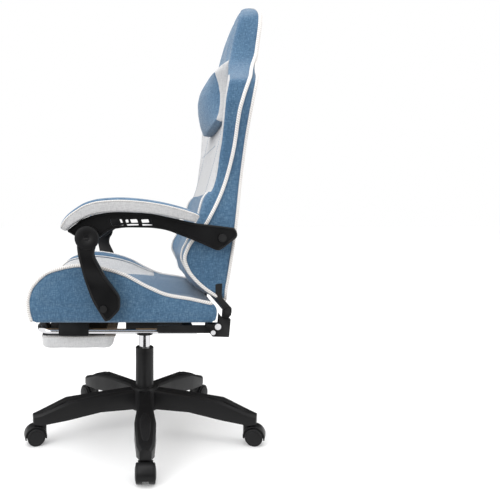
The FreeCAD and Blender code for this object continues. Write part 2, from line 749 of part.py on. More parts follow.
lever_pin_radius = 4
lever_pin = across(lever_pin_radius, handle_x - 9, -cover_outer, handle_pivot).fuse(
    across(lever_pin_radius + 4, handle_x - 11, handle_x - 9.2, handle_pivot))
left_bolts = solid("cover_bolts", Part.makeCompound(bolts))
right_pin = solid("lever_pin", lever_pin)
keep("recliner_bolts", group("bolt_group", left_bolts, mirrored("bolt_mirror", left_bolts), right_pin))


def from_handle(forward, up, radius):
    """Corner placed from the recline lever's pivot."""
    return (handle_pivot[0] - forward, handle_pivot[1] + up, radius)


handle_side = (
    from_handle(-14, -12, 10), from_handle(-14, 12, 10), from_handle(40, 8, 10), from_handle(150, 2, 8),
    from_handle(150, -16, 8), from_handle(40, -10, 20),
)
handle = side_prism(handle_side, handle_x - 9, handle_x)
handle = handle.cut(across(lever_pin_radius + d.running_gap, handle_x - 10, handle_x + 1, handle_pivot))
keep("recline_lever", solid("recline_lever_shape", handle))


# ---------------------------------------------------------------- backrest
BACK_DRAWN = 830


def back(y_from_pivot, up, radius=0):
    """Corner of a backrest outline, placed from the recliner pivot."""
    return (pivot[0] + y_from_pivot, pivot[1] + up * d.back_length / BACK_DRAWN, radius)


rear_line = (back(-6, 30), back(26, 240), back(56, 502), back(93, 690), back(104, 800))


def rear_at(z):
    """Depth of the rear face at a height."""
    for (y_low, z_low, _), (y_high, z_high, _) in zip(rear_line, rear_line[1:]):
        if z <= z_high:
            break
    return y_low + (y_high - y_low) * (z - z_low) / (z_high - z_low)


def rear_band(low, high):
    """Side outline of a layer behind the padding, between two depths from the rear face."""
    ahead = [(y - high, z, 300) for y, z, _ in rear_line]
    behind = [(y - low, z, 300) for y, z, _ in reversed(rear_line)]
    return ahead + behind


back_front = (
    (back_half - 26, 28, 16), (back_half - 8, 84, 60), (back_half - 2, 150, 60), (back_half - 14, 240, 80),
    (back_half - 22, 330, 120), (back_half - 12, 430, 120), (back_half + 6, 530, 60),
    (back_half - 4, 578, 26), (196, 604, 30), (d.head_half_width + 14, 650, 60),
    (d.head_half_width, 740, 60), (d.head_half_width - 16, 796, 50), (44, 830, 60),
)
stretch = d.back_length / BACK_DRAWN
silhouette = [(x, pivot[1] + up * stretch, radius) for x, up, radius in back_front]
whole_front = front_prism(both_sides(silhouette), -200, 600)

cover_band = side_prism(rear_band(0, d.back_cover), -300, 300)
slot_low = back(0, 596)[1]
slot_inner = d.head_half_width - d.strap_slot_width - 2


def strap_slot(side):
    low = slot_inner if side > 0 else -slot_inner - d.strap_slot_width
    return Part.makeBox(d.strap_slot_width, 400, d.strap_slot_height, Vector(low, 0, slot_low))


slots = strap_slot(1).fuse(strap_slot(-1))
pad_side = (
    back(-52, 44, 14), back(-76, 110, 60), back(-60, 230, 120), back(-14, 430, 300), back(12, 560, 200),
    back(16, 668, 120), back(44, 778, 60), back(68, 831, 26), back(94, 826, 20), back(94, 790, 60),
    back(93 - d.back_cover, 690, 200), back(56 - d.back_cover, 502, 300), back(26 - d.back_cover, 240, 300),
    back(-6 - d.back_cover, 30, 4),
)
upper_wing_side = (
    back(-58, 290, 20), back(-30, 340, 60), back(-21, 450, 100), back(-14, 530, 60), back(-2, 582, 24),
    back(30, 590, 10), back(72 - d.back_cover, 584, 0), back(56 - d.back_cover, 502, 300),
    back(32 - d.back_cover, 290, 0),
)
lumbar_side = (
    back(-24, 32, 4), back(-98, 92, 50), back(-121, 142, 60), back(-92, 200, 60), back(-56, 289.5, 10),
    back(32 - d.back_cover, 289.5, 0), back(26 - d.back_cover, 240, 200), back(-6 - d.back_cover, 30, 2),
)

tube_depth = d.back_cover + d.frame_tube_radius + 10
tube_points = []
for x, up in ((-236, 120), (-214, 330), (-84, 620), (-84, 740)):
    z = pivot[1] + up * stretch
    tube_points.append(Vector(x, rear_at(z) - tube_depth, z))
right_run = [Vector(-p.x, p.y, p.z) for p in reversed(tube_points)]
frame = tube_run(tube_points + right_run, d.frame_tube_radius)
for low_x, high_x in ((swing_inner, swing_outer), (-swing_outer, -swing_inner)):
    arm = side_prism((from_pivot(eye, -eye, eye), from_pivot(-eye, -eye, eye), from_pivot(-eye, 8, 8),
                      from_pivot(15, 36, 20), (arm_pin[0] + 12, arm_pin[1] + 14, 10),
                      (arm_pin[0] - 14, arm_pin[1] + 14, 10), (arm_pin[0] - 14, arm_pin[1] - 20, 10),
                      from_pivot(30, 36, 20), from_pivot(eye, 6, 6)), low_x, high_x)
    frame = frame.fuse(arm)
frame = frame.cut(across(d.pivot_radius + d.running_gap, -300, 300, pivot))
frame = frame.cut(across(d.arm_pin_radius, -300, 300, arm_pin))
keep("backrest_frame", solid("frame_shape", frame))
pin_length = 48
pin_head = 3.5
pin_reach = swing_inner - 4 + pin_length
pins = [across(d.arm_pin_radius, x_low, x_low + pin_length, arm_pin)
        for x_low in (pin_reach - pin_length, -pin_reach)]
heads = [across(d.arm_pin_radius + 4, x_low, x_low + pin_head, arm_pin)
         for x_low in (pin_reach, -pin_reach - pin_head)]
arm_pins = Part.makeCompound([pin.fuse(head).removeSplitter() for pin, head in zip(pins, heads)])
keep("armrest_pins", solid("arm_pins_shape", arm_pins))
buried = frame.fuse(arm_pins.Solids[0]).fuse(arm_pins.Solids[1])

buried = buried.fuse(cover_band)
cover_shape = cover_band.common(whole_front).cut(slots)
keep("backrest_cover", solid("back_cover_shape", cover_shape))
pad_half = d.back_pad_half
pad_shape = side_prism(pad_side, -pad_half, pad_half).common(whole_front).cut(buried).cut(slots)
keep("backrest_pad", solid("pad_shape", pad_shape))
for label, corners in (("backrest_wing", upper_wing_side), ("lumbar_wing", lumbar_side)):
    wing = side_prism(corners, pad_half, 300).common(whole_front).cut(buried)
    left_wing = solid(label + "_shape", wing)
    keep(label + "_left", left_wing)
    keep(label + "_right", mirrored(label + "_mirror", left_wing))

pillow_side = (
    back(14, 492, 10), back(-24, 500, 30), back(-46, 560, 50), back(-34, 640, 40), back(-8, 684, 10),
    back(14.5, 668, 10), back(10.5, 560, 200),
)
pillow = side_prism(pillow_side, -d.head_half_width, d.head_half_width)
pillow = pillow.cut(side_prism(pad_side, -pad_half, pad_half))
keep("head_pillow", solid("pillow_shape", pillow))

strap_mid = slot_low + d.strap_slot_height / 2
strap_low = strap_mid - d.strap_width / 2
strap_front = pivot[0] + 16
strap_rear = rear_at(strap_low + d.strap_width) + d.strap_thickness + 0.5
strap_outer = slot_inner + 12
strap_box = Part.makeBox(2 * strap_outer, strap_rear - strap_front, d.strap_width,
                         Vector(-strap_outer, strap_front, strap_low))
strap_inner = strap_outer - d.strap_thickness
strap_void = Part.makeBox(2 * strap_inner, strap_rear - strap_front - d.strap_thickness, d.strap_width,
                          Vector(-strap_inner, strap_front, strap_low))
keep("pillow_strap", solid("strap_shape", strap_box.cut(strap_void)))


# ---------------------------------------------------------------- armrests
def from_joint(back_of, up, radius=0):
    """Corner placed from the front joint of the armrest."""
    return (front_joint[0] + back_of, front_joint[1] + up, radius)


arm_outer = arm_inner + d.arm_thickness
beam_top = (
    from_joint(-52, 16, 4), from_joint(-17, 43, 60), from_joint(12, 55, 120), from_joint(50, 62, 300),
    from_joint(87, 62.5, 300), from_joint(156, 59, 300), from_joint(260, 36, 200),
)
beam_rear = (
    (arm_pin[0] + 31, arm_pin[1] + 25, 12), (arm_pin[0] + 40, arm_pin[1] + 4, 30),
    (arm_pin[0] - 8, arm_pin[1] - 33, 16), (arm_pin[0] - 60, arm_pin[1] - 10, 120),
)
beam_low = (
    from_joint(192, 19, 200), from_joint(156, 24, 200), from_joint(92, 25, 200), from_joint(56, 20, 40),
    from_joint(24, -4, 22), from_joint(0, -24, 22), from_joint(-24, 0, 22),
)
beam_side = beam_top + beam_rear + beam_low
shift = d.arm_front_shift
beam_plan = (
    (arm_inner, arm_pin[0] + 50, 0), (arm_outer, arm_pin[0] + 50, 0), (arm_outer, arm_pin[0] - 90, 60),
    (arm_outer + shift, 0, 60), (arm_outer + shift, front_joint[0] - 60, 0),
    (arm_inner + shift, front_joint[0] - 60, 0), (arm_inner + shift, 0, 60), (arm_inner, arm_pin[0] - 90, 60),
)
beam = side_prism(beam_side, arm_inner - 1, arm_outer + shift + 1).common(
    plan_prism(beam_plan, front_joint[1] - 60, front_joint[1] + 90))
for start, end in ((58, 88), (94, 124), (130, 158)):
    window = side_prism((from_joint(start, 40, 3), from_joint(end - 8, 41, 3), from_joint(end, 30, 3),
                         from_joint(start + 8, 29, 3)), arm_inner - 2, arm_outer + shift + 2)
    beam = beam.cut(window)
beam = beam.cut(across(d.arm_pin_radius + d.running_gap, arm_inner - 5, arm_outer + 9, arm_pin))
beam = beam.cut(across(d.arm_pin_radius + d.front_joint_play, arm_inner - 5, arm_outer + 9, front_joint))
beam = beam.cut(across(d.arm_pin_radius + 6, arm_outer - 0.5, arm_outer + 9, arm_pin))
left_beam = solid("beam_shape", beam)
keep("armrest_beam_left", left_beam)
keep("armrest_beam_right", mirrored("beam_mirror", left_beam))

pad_low = [(y, z + 0.2, radius) for y, z, radius in beam_top]
pad_top = (
    from_joint(276, 50, 10), from_joint(240, 71, 60), from_joint(158, 90, 300), from_joint(80, 97, 300),
    from_joint(34, 94, 200), from_joint(-4, 84, 120), from_joint(-36, 64, 60), from_joint(-57, 42, 30),
    from_joint(-66, 24, 8),
)
arm_pad_inner = arm_inner + 3
arm_pad_outer = arm_pad_inner + d.arm_pad_width
pad_front_end = from_joint(-68, 0)[0]
pad_rear_end = from_joint(278, 0)[0]
arm_pad_outline = (
    (arm_pad_inner, pad_front_end, 20), (arm_pad_outer, pad_front_end, 20),
    (arm_pad_outer, pad_rear_end, 16), (arm_pad_inner, pad_rear_end, 16),
)
arm_pad_side = tuple(pad_low) + (from_joint(277, 34, 8),) + pad_top
arm_pad = side_prism(arm_pad_side, arm_pad_inner, arm_pad_outer).common(
    plan_prism(arm_pad_outline, front_joint[1], front_joint[1] + 120))
left_pad = solid("arm_pad_shape", arm_pad)
keep("armrest_pad_left", left_pad)
keep("armrest_pad_right", mirrored("arm_pad_mirror", left_pad))

disc_inner = arm_outer + shift + d.joint_gap + 1
disc_outer = disc_inner + 22


def from_bolt(back_of, up, radius=0):
    """Corner placed from the lower bolt of the upright."""
    return (upright_bolt[0] + back_of, upright_bolt[1] + up, radius)


leaf_side = (
    from_joint(-25, -12, 20), from_joint(-22, -40, 60), from_bolt(-44, 66, 200), from_bolt(-28, 20, 200),
    from_bolt(4, -32, 6), from_bolt(16, -28, 6), from_bolt(41, -2, 20), from_bolt(42, 30, 30),
    from_bolt(8, 78, 80), from_joint(15, -40, 60), from_joint(22, -16, 10), from_joint(0, 6, 20),
)
leaf_front = (
    (arm_inner, upright_bolt[1] - 36, 0), (arm_inner + 24, upright_bolt[1] - 36, 0),
    (arm_inner + 24, upright_bolt[1] + 30, 80), (disc_outer - 2, front_joint[1] - 30, 60),
    (disc_outer - 2, front_joint[1] + 8, 0), (disc_inner, front_joint[1] + 8, 0),
    (disc_inner, front_joint[1] - 34, 40), (arm_inner, upright_bolt[1] + 40, 80),
)
leaf = side_prism(leaf_side, arm_inner - 1, disc_outer + 1).common(front_prism(leaf_front, -400, 100))
disc = across(d.joint_disc_radius, disc_inner, disc_outer, front_joint)
joint_pin = across(d.arm_pin_radius, arm_inner + shift + 3, disc_inner + 1, front_joint)
upright = leaf.fuse(disc).fuse(joint_pin)
bolt_hole = across(d.upright_bolt_radius + d.running_gap, arm_inner - 5, arm_outer + 5, upright_bolt)
upright = upright.cut(bolt_hole)
left_upright = solid("upright_shape", upright.removeSplitter())
keep("arm_upright_left", left_upright)
keep("arm_upright_right", mirrored("upright_mirror", left_upright))

bolt_head = arm_inner + 24.5
bolt = across(d.upright_bolt_radius, seat_half - 26, bolt_head + 1, upright_bolt).fuse(
    across(d.upright_bolt_radius + 4, bolt_head, bolt_head + 3, upright_bolt))
left_bolt = solid("upright_bolt_shape", bolt.removeSplitter())
keep("upright_bolts", group("upright_bolt_pair", left_bolt, mirrored("upright_bolt_mirror", left_bolt)))

# ---------------------------------------------------------------- check and write
doc.recompute()
for obj in doc.Objects:
    for state in obj.State:
        if state in ("Invalid", "Error"):
            raise RuntimeError(f"{obj.Label} is {state}")
os.makedirs("parts", exist_ok=True)
for label, obj in parts.items():
    if obj.Shape.isNull() or not obj.Shape.isValid() or not obj.Shape.Solids:
        raise RuntimeError(f"{label} has no valid solid")
for label, obj in parts.items():
    obj.Shape.exportStep(f"parts/{label}.step")
print(len(parts), "sub-parts written")
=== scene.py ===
"""Gaming chair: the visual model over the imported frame. Metres, +Z up, -Y front, +X the sitter's left."""
import bpy
import bmesh
import json
import math
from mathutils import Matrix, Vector


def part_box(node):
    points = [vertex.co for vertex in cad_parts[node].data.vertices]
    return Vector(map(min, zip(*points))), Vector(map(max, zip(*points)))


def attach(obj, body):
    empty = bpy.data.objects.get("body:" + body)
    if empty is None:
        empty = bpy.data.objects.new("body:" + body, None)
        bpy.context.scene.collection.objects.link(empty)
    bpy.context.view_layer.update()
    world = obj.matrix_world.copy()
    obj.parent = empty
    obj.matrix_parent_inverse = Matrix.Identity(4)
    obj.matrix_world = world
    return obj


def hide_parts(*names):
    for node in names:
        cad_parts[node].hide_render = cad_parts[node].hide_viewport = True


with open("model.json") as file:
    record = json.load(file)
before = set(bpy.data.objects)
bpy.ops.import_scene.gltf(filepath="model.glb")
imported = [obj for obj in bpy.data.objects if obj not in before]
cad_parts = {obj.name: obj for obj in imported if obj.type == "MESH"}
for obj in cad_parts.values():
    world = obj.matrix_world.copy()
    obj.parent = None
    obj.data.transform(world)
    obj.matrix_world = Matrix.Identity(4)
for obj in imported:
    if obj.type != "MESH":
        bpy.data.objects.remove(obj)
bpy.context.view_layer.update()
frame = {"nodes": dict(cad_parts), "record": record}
NODES = frame["nodes"]

# ---------------------------------------------------------------- camera
camera_data = bpy.data.cameras.new("side_view")
camera_data.lens = 38.28
camera_data.sensor_width = 36
camera_data.shift_x = 0.2177
camera = bpy.data.objects.new("side_view", camera_data)
camera.location = (1.582, -0.0106, 0.649)
camera.rotation_euler = (math.radians(90 - 3.67), 0, math.radians(90))
bpy.context.scene.collection.objects.link(camera)
bpy.context.scene.camera = camera


# ---------------------------------------------------------------- curves and meshes
def through(*table):
    """Smooth function through (position, value) rows that never overshoots them."""
    xs = [row[0] for row in table]
    ys = [row[1] for row in table]
    rise = [(ys[i + 1] - ys[i]) / (xs[i + 1] - xs[i]) for i in range(len(xs) - 1)]
    slopes = [rise[0]]
    for before, after in zip(rise, rise[1:]):
        slopes.append(0 if before * after <= 0 else 2 * before * after / (before + after))
    slopes.append(rise[-1])

    def at(x):
        x = min(max(x, xs[0]), xs[-1])
        i = max(k for k in range(len(xs) - 1) if xs[k] <= x)
        step = xs[i + 1] - xs[i]
        t = (x - xs[i]) / step
        return ((2 * t ** 3 - 3 * t * t + 1) * ys[i] + (t ** 3 - 2 * t * t + t) * step * slopes[i]
                + (3 * t * t - 2 * t ** 3) * ys[i + 1] + (t ** 3 - t * t) * step * slopes[i + 1])
    return at


def mix(a, b, t):
    return a + (b - a) * t


def measured(line):
    """Distance along a line at each of its points."""
    lengths = [0.0]
    for a, b in zip(line, line[1:]):
        lengths.append(lengths[-1] + (b - a).length)
    return lengths


def at_length(line, lengths, s):
    k = max(j for j in range(len(line) - 1) if lengths[j] <= s)
    span = lengths[k + 1] - lengths[k]
    return mix(line[k], line[k + 1], (s - lengths[k]) / span if span else 0)


def soft(value, power):
    return math.copysign(abs(value) ** power, value)


def along(points, step):
    """Points at equal steps of a smooth line through the given ones."""
    distances = [0.0]
    for a, b in zip(points, points[1:]):
        distances.append(distances[-1] + max((b - a).length, 1e-6))
    axes = [through(*[(s, p[axis]) for s, p in zip(distances, points)]) for axis in range(3)]
    count = max(int(round(distances[-1] / step)), 2)
    return [Vector([axis(distances[-1] * i / count) for axis in axes]) for i in range(count + 1)]


def placed(name, data):
    obj = bpy.data.objects.new(name, data)
    bpy.context.scene.collection.objects.link(obj)
    return obj


def make(name, verts, faces, materials, indices=None, sharp=None):
    mesh = bpy.data.meshes.new(name)
    mesh.from_pydata([tuple(v) for v in verts], [], faces)
    for material in materials:
        mesh.materials.append(material)
    if indices:
        mesh.polygons.foreach_set("material_index", indices)
    mesh.validate()
    mesh.shade_smooth()
    if sharp:
        mesh.set_sharp_from_angle(angle=math.radians(sharp))
    return placed(name, mesh)


def bands(rows, count, start=0, closed=False):
    """Faces between neighbouring rows of points; closed joins the last row to the first."""
    faces = []
    for i in range(rows if closed else rows - 1):
        near, far = start + i * count, start + (i + 1) % rows * count
        for j in range(count):
            k = (j + 1) % count
            faces.append((near + j, near + k, far + k, far + j))
    return faces


def plain(row, index):
    return 0


def loft(name, rings, materials, panel=plain, cap_material=0, sharp=None):
    """Closed skin over rings of equal count; panel(ring, column) gives a face's material index."""
    count = len(rings[0])
    verts = [p for ring in rings for p in ring]
    faces = bands(len(rings), count)
    indices = [panel(i, j) for i in range(len(rings) - 1) for j in range(count)]
    for base, flip in ((0, True), ((len(rings) - 1) * count, False)):
        ring = rings[0] if flip else rings[-1]
        middle = sum(ring, Vector()) / count
        inner = len(verts)
        verts += [mix(p, middle, 0.5) for p in ring]
        verts.append(middle)
        for j in range(count):
            k = (j + 1) % count
            quad = (base + j, base + k, inner + k, inner + j)
            tri = (inner + j, inner + k, inner + count)
            faces += [quad[::-1], tri[::-1]] if flip else [quad, tri]
            indices += [cap_material, cap_material]
    obj = make(name, verts, faces, materials, indices, sharp)
    outwards(obj)
    return obj


def outwards(obj, weld=None):
    """Turn every face outwards, after joining points closer than weld."""
    bm = bmesh.new()
    bm.from_mesh(obj.data)
    if weld:
        bmesh.ops.remove_doubles(bm, verts=bm.verts, dist=weld)
    bmesh.ops.recalc_face_normals(bm, faces=bm.faces)
    bm.to_mesh(obj.data)
    bm.free()


def both(half):
    """Closed ring from its left half, listed from one point of the middle plane to the other."""
    return list(half) + [Vector((-p.x, p.y, p.z)) for p in half[-2:0:-1]]


def column(index, half_count):
    """Column of the left half that a column of the closed ring mirrors, for faces."""
    return index if index < half_count - 1 else 2 * (half_count - 1) - 1 - index


def spread(points, counts):
    """Left half of a ring: each run between two key points cut into equal pieces."""
    line = [points[0]]
    for a, b, count in zip(points, points[1:], counts):
        line += [mix(a, b, i / count) for i in range(1, count + 1)]
    return line


def seam(skin, side, place, rows, off):
    """Line along one column of a skin's left half, moved off it, on either side of the chair."""
    return [Vector((side * (skin[r][place].x + off[0]), skin[r][place].y + off[1], skin[r][place].z + off[2]))
            for r in rows]


def rope(name, points, radius, material, body="backrest", step=0.004, sides=10):
    """Sewn-in cord of piping along a line, with a UV that carries its twist."""
    path = along(points, step)
    count = len(path)
    up = Vector((1, 0, 0)) if abs((path[1] - path[0]).normalized().x) < 0.8 else Vector((0, 1, 0))
    verts, lengths = [], measured(path)
    for i, p in enumerate(path):
        ahead = (path[min(i + 1, count - 1)] - path[max(i - 1, 0)]).normalized()
        side = (up - ahead * up.dot(ahead)).normalized()
        up = side
        other = ahead.cross(side)
        taper = 0.35 if i in (0, count - 1) else 1.0
        for j in range(sides):
            turn = 2 * math.pi * j / sides
            verts.append(p + (side * math.cos(turn) + other * math.sin(turn)) * radius * taper)
    faces = bands(count, sides)
    faces.append(tuple(range(sides))[::-1])
    faces.append(tuple(range((count - 1) * sides, count * sides)))
    obj = make(name, verts, faces, [material])
    uv = obj.data.uv_layers.new(name="twist")
    for face in obj.data.polygons:
        columns = [v % sides for v in face.vertices]
        wraps = max(columns) - min(columns) > 1
        for loop in face.loop_indices:
            v = obj.data.loops[loop].vertex_index
            j = v % sides
            turn = sides if wraps and j == 0 else j
            uv.data[loop].uv = (lengths[v // sides], turn / sides)
    outwards(obj)
    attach(obj, body)
    return obj


def stitches(name, points, material, body="backrest", pitch=0.0065, length=0.0042,
             radius=0.00055):
    """Row of short sewn threads lying along a line."""
    path = along(points, pitch)
    verts, faces = [], []
    for a, b in zip(path, path[1:]):
        ahead = (b - a).normalized()
        side = ahead.orthogonal().normalized()
        other = ahead.cross(side)
        base = len(verts)
        for place, size in ((0.0, 0.3), (0.25, 1.0), (0.75, 1.0), (1.0, 0.3)):
            centre = a + ahead * length * place
            for j in range(5):
                turn = 2 * math.pi * j / 5
                verts.append(centre + (side * math.cos(turn) + other * math.sin(turn)) * radius * size)
        faces += bands(4, 5, base)
        faces.append(tuple(base + j for j in range(5))[::-1])
        faces.append(tuple(base + 15 + j for j in range(5)))
    obj = make(name, verts, faces, [material])
    outwards(obj)
    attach(obj, body)
    return obj


def lathe(name, profile, origin, axis, material, steps=56, sharp=32):
    """Turned piece: a closed (radius, distance along) outline turned about an axis."""
    axis = Vector(axis).normalized()
    side = axis.orthogonal().normalized()
    other = axis.cross(side)
    verts = []
    for i in range(steps):
        turn = 2 * math.pi * i / steps
        spoke = side * math.cos(turn) + other * math.sin(turn)
        verts += [Vector(origin) + spoke * max(r, 1e-5) + axis * a for r, a in profile]
    obj = make(name, verts, bands(steps, len(profile), closed=True), [material], sharp=sharp)
    outwards(obj, 2e-5)
    obj.data.set_sharp_from_angle(angle=math.radians(sharp))
    return obj


# ---------------------------------------------------------------- padding
CLOTH_FRAMES = 20
CLOTH_STIFFNESS = 12


def puff(obj, pins, pressure, cap, limit=None):
    """Blow a sewn skin out between its pinned seams with cloth pressure, then keep the result."""
    mesh = obj.data
    group = obj.vertex_groups.new(name="seams")
    for index in pins:
        group.add([index], 1.0, "REPLACE")
    cloth = obj.modifiers.new("padding", "CLOTH")
    fabric = cloth.settings
    fabric.vertex_group_mass = "seams"
    fabric.use_pressure = True
    fabric.uniform_pressure_force = pressure
    fabric.tension_stiffness = CLOTH_STIFFNESS
    fabric.compression_stiffness = CLOTH_STIFFNESS
    fabric.shear_stiffness = CLOTH_STIFFNESS / 2
    fabric.effector_weights.gravity = 0
    cloth.point_cache.frame_start = 1
    cloth.point_cache.frame_end = CLOTH_FRAMES
    scene = bpy.context.scene
    for number in range(1, CLOTH_FRAMES + 1):
        scene.frame_set(number)
    shown = obj.evaluated_get(bpy.context.evaluated_depsgraph_get()).to_mesh()
    moved = [v.co.copy() for v in shown.vertices]
    obj.modifiers.remove(cloth)
    obj.vertex_groups.remove(group)
    scene.frame_set(1)
    for v, new in zip(mesh.vertices, moved):
        shift = new - v.co
        if shift.length > cap:
            shift *= cap / shift.length
        v.co += shift
    if limit:
        for v in mesh.vertices:
            v.co.x = max(-limit, min(limit, v.co.x))
    smooth = obj.modifiers.new("smooth", "SUBSURF")
    smooth.levels = 1
    smooth.render_levels = 1
    smooth.boundary_smooth = "ALL"
    settle(obj)


def settle(obj):
    """Replace the mesh with what its modifiers make of it."""
    result = bpy.data.meshes.new_from_object(obj.evaluated_get(bpy.context.evaluated_depsgraph_get()))
    obj.modifiers.clear()
    obj.data = result
    result.name = obj.name


# ---------------------------------------------------------------- materials
def fill(node, values):
    """Give inputs of a node their value, or link them when the value is an output of another node."""
    for key, value in values.items():
        if isinstance(value, bpy.types.NodeSocket):
            node.id_data.links.new(value, node.inputs[key])
        else:
            node.inputs[key].default_value = value
    return node


def add(tree, kind, values):
    return fill(tree.nodes.new("ShaderNode" + kind), values)


def material(name, colour, roughness=0.5, metallic=0.0):
    """New material with its nodes, its shader and a node called place for the object's own coordinates."""
    result = bpy.data.materials.new(name)
    result.use_nodes = True
    result.diffuse_color = (*colour, 1)
    tree = result.node_tree
    shader = fill(tree.nodes["Principled BSDF"],
                  {"Base Color": (*colour, 1), "Roughness": roughness, "Metallic": metallic})
    tree.nodes.new("ShaderNodeTexCoord").name = "place"
    return result, tree, shader


def spot(tree, kind="Object"):
    return tree.nodes["place"].outputs[kind]


def noise(tree, scale, stretch=(1, 1, 1), detail=2.0, roughness=0.5):
    mapping = add(tree, "Mapping", {"Scale": stretch, "Vector": spot(tree)})
    return add(tree, "TexNoise", {"Scale": scale, "Detail": detail, "Roughness": roughness,
                                  "Vector": mapping.outputs["Vector"]}).outputs["Fac"]


def maths(tree, operation, first, second):
    node = add(tree, "Math", {0: first, 1: second})
    node.operation = operation
    return node.outputs["Value"]


def ramp(tree, factor, *stops):
    node = add(tree, "ValToRGB", {"Fac": factor})
    elements = node.color_ramp.elements
    while len(elements) < len(stops):
        elements.new(0.5)
    for element, (position, colour) in zip(elements, stops):
        element.position = position
        element.color = (*colour, 1)
    return node.outputs["Color"]


def level(tree, value, low, high, to_low=0.0, to_high=1.0):
    return add(tree, "MapRange", {"Value": value, "From Min": low, "From Max": high, "To Min": to_low,
                                  "To Max": to_high}).outputs["Result"]


def bump(tree, shader, height, distance, strength, after=None):
    node = add(tree, "Bump", {"Strength": strength, "Distance": distance, "Height": height})
    if after:
        fill(node, {"Normal": after})
    fill(shader, {"Normal": node.outputs["Normal"]})
    return node.outputs["Normal"]


def woven(name, dark, middle, light, first, second, sheen=0.35):
    """Heather cloth: two crossing sets of slubby threads, a fine weave and slow fading."""
    result, tree, shader = material(name, middle, 0.86)
    warp = noise(tree, 1.0, first, 3.0, 0.6)
    weft = noise(tree, 1.0, second, 3.0, 0.6)
    fading = maths(tree, "MULTIPLY", noise(tree, 9.0), 0.35)
    threads = maths(tree, "ADD", maths(tree, "ADD", warp, weft), fading)
    colour = ramp(tree, level(tree, threads, 0.70, 1.66), (0.0, dark), (0.5, middle), (1.0, light))
    waves = []
    for axis in ("X", "Y", "Z"):
        wave = add(tree, "TexWave", {"Scale": 262, "Distortion": 1.2, "Detail": 1, "Vector": spot(tree)})
        wave.wave_type = "BANDS"
        wave.bands_direction = axis
        waves.append(wave.outputs["Fac"])
    weave = maths(tree, "ADD", maths(tree, "MULTIPLY", waves[0], waves[2]),
                  maths(tree, "MULTIPLY", waves[1], waves[2]))
    weave = maths(tree, "ADD", weave, maths(tree, "MULTIPLY", waves[0], waves[1]))
    fine = bump(tree, shader, weave, 0.00035, 0.55)
    bump(tree, shader, threads, 0.0006, 0.5, fine)
    gloss = level(tree, noise(tree, 26.0), 0.3, 0.7, 0.78, 0.93)
    fill(shader, {"Base Color": colour, "Roughness": gloss, "Sheen Weight": sheen, "Sheen Roughness": 0.45,
                  "Specular IOR Level": 0.2})
    return result


def twisted(name, colour, shade):
    """Piping cord whose strands run round it at a slant, with painted shade in the grooves between them."""
    result, tree, shader = material(name, colour, 0.7)
    split = add(tree, "SeparateXYZ", {"Vector": spot(tree, "UV")})
    slant = maths(tree, "ADD", maths(tree, "MULTIPLY", split.outputs["X"], 1150.0),
                  maths(tree, "MULTIPLY", split.outputs["Y"], 6.2832 * 2))
    strand = maths(tree, "SINE", slant, 0.0)
    height = maths(tree, "ADD", strand, maths(tree, "MULTIPLY", noise(tree, 900.0), 0.4))
    bump(tree, shader, height, 0.0006, 0.8)
    # painted shade: the grooves between strands take the darker shade colour
    paint = ramp(tree, level(tree, height, -0.9, 0.6), (0.0, shade), (1.0, colour))
    fill(shader, {"Base Color": paint, "Sheen Weight": 0.2})
    return result


def moulded(name, colour, roughness, grain=1400, depth=0.00012):
    """Moulded or powder-coated surface with fine grain, uneven gloss and a patchy painted highlight that makes sharp
    edges paler.
    """
    result, tree, shader = material(name, colour, roughness)
    fine = noise(tree, grain)
    slow = noise(tree, 18.0, (1, 1, 1), 3.0)
    bump(tree, shader, fine, depth, 0.6)
    edge = tree.nodes.new("ShaderNodeNewGeometry")
    # painted highlight: sharp edges, found by pointiness, get a paler colour, patchy with the slow noise
    edge_highlight = maths(tree, "MULTIPLY", level(tree, edge.outputs["Pointiness"], 0.52, 0.60), slow)
    paint = ramp(tree, edge_highlight, (0.0, colour), (1.0, tuple(c + PAINTED_EDGE_HIGHLIGHT for c in colour)))
    gloss = level(tree, slow, 0.3, 0.7, roughness - 0.06, roughness + 0.08)
    fill(shader, {"Base Color": paint, "Roughness": gloss, "Specular IOR Level": 0.22})
    return result


def metal(name, colour, roughness, brush=(1, 1, 1)):
    """Bright metal with faint brushing and smudges."""
    result, tree, shader = material(name, colour, roughness, 1.0)
    lines = noise(tree, 300.0, brush)
    gloss = maths(tree, "ADD", maths(tree, "MULTIPLY", lines, 0.5), noise(tree, 14.0))
    fill(shader, {"Roughness": level(tree, gloss, 0.5, 1.0, roughness * 0.6, roughness * 1.6)})
    bump(tree, shader, lines, 0.00003, 0.25)
    return result


def wooden(name):
    result, tree, shader = material(name, (0.36, 0.24, 0.13), 0.75)
    grain = noise(tree, 40.0, (6, 0.5, 6), 5.0, 0.6)
    paint = ramp(tree, grain, (0.25, (0.24, 0.15, 0.08)), (0.75, (0.46, 0.33, 0.19)))
    fill(shader, {"Base Color": paint})
    bump(tree, shader, grain, 0.0004, 0.4)
    return result


def webbing(name):
    """Dark elastic band with ribs along its length, with painted shade in the grooves between them."""
    result, tree, shader = material(name, (0.02, 0.035, 0.09), 0.8)
    ribs = add(tree, "TexWave", {"Scale": 160, "Vector": spot(tree)})
    ribs.bands_direction = "Z"
    height = maths(tree, "ADD", ribs.outputs["Fac"], maths(tree, "MULTIPLY", noise(tree, 700.0), 0.5))
    bump(tree, shader, height, 0.0004, 0.7)
    # painted shade: the colour follows the rib height, darker in the grooves and patchy with the noise
    paint = ramp(tree, level(tree, height, 0.2, 1.2), (0.0, (0.010, 0.018, 0.05)), (1.0, (0.035, 0.06, 0.14)))
    fill(shader, {"Base Color": paint})
    return result


# how much paler the painted edge highlight makes the sharp edges of moulded surfaces
PAINTED_EDGE_HIGHLIGHT = 0.02


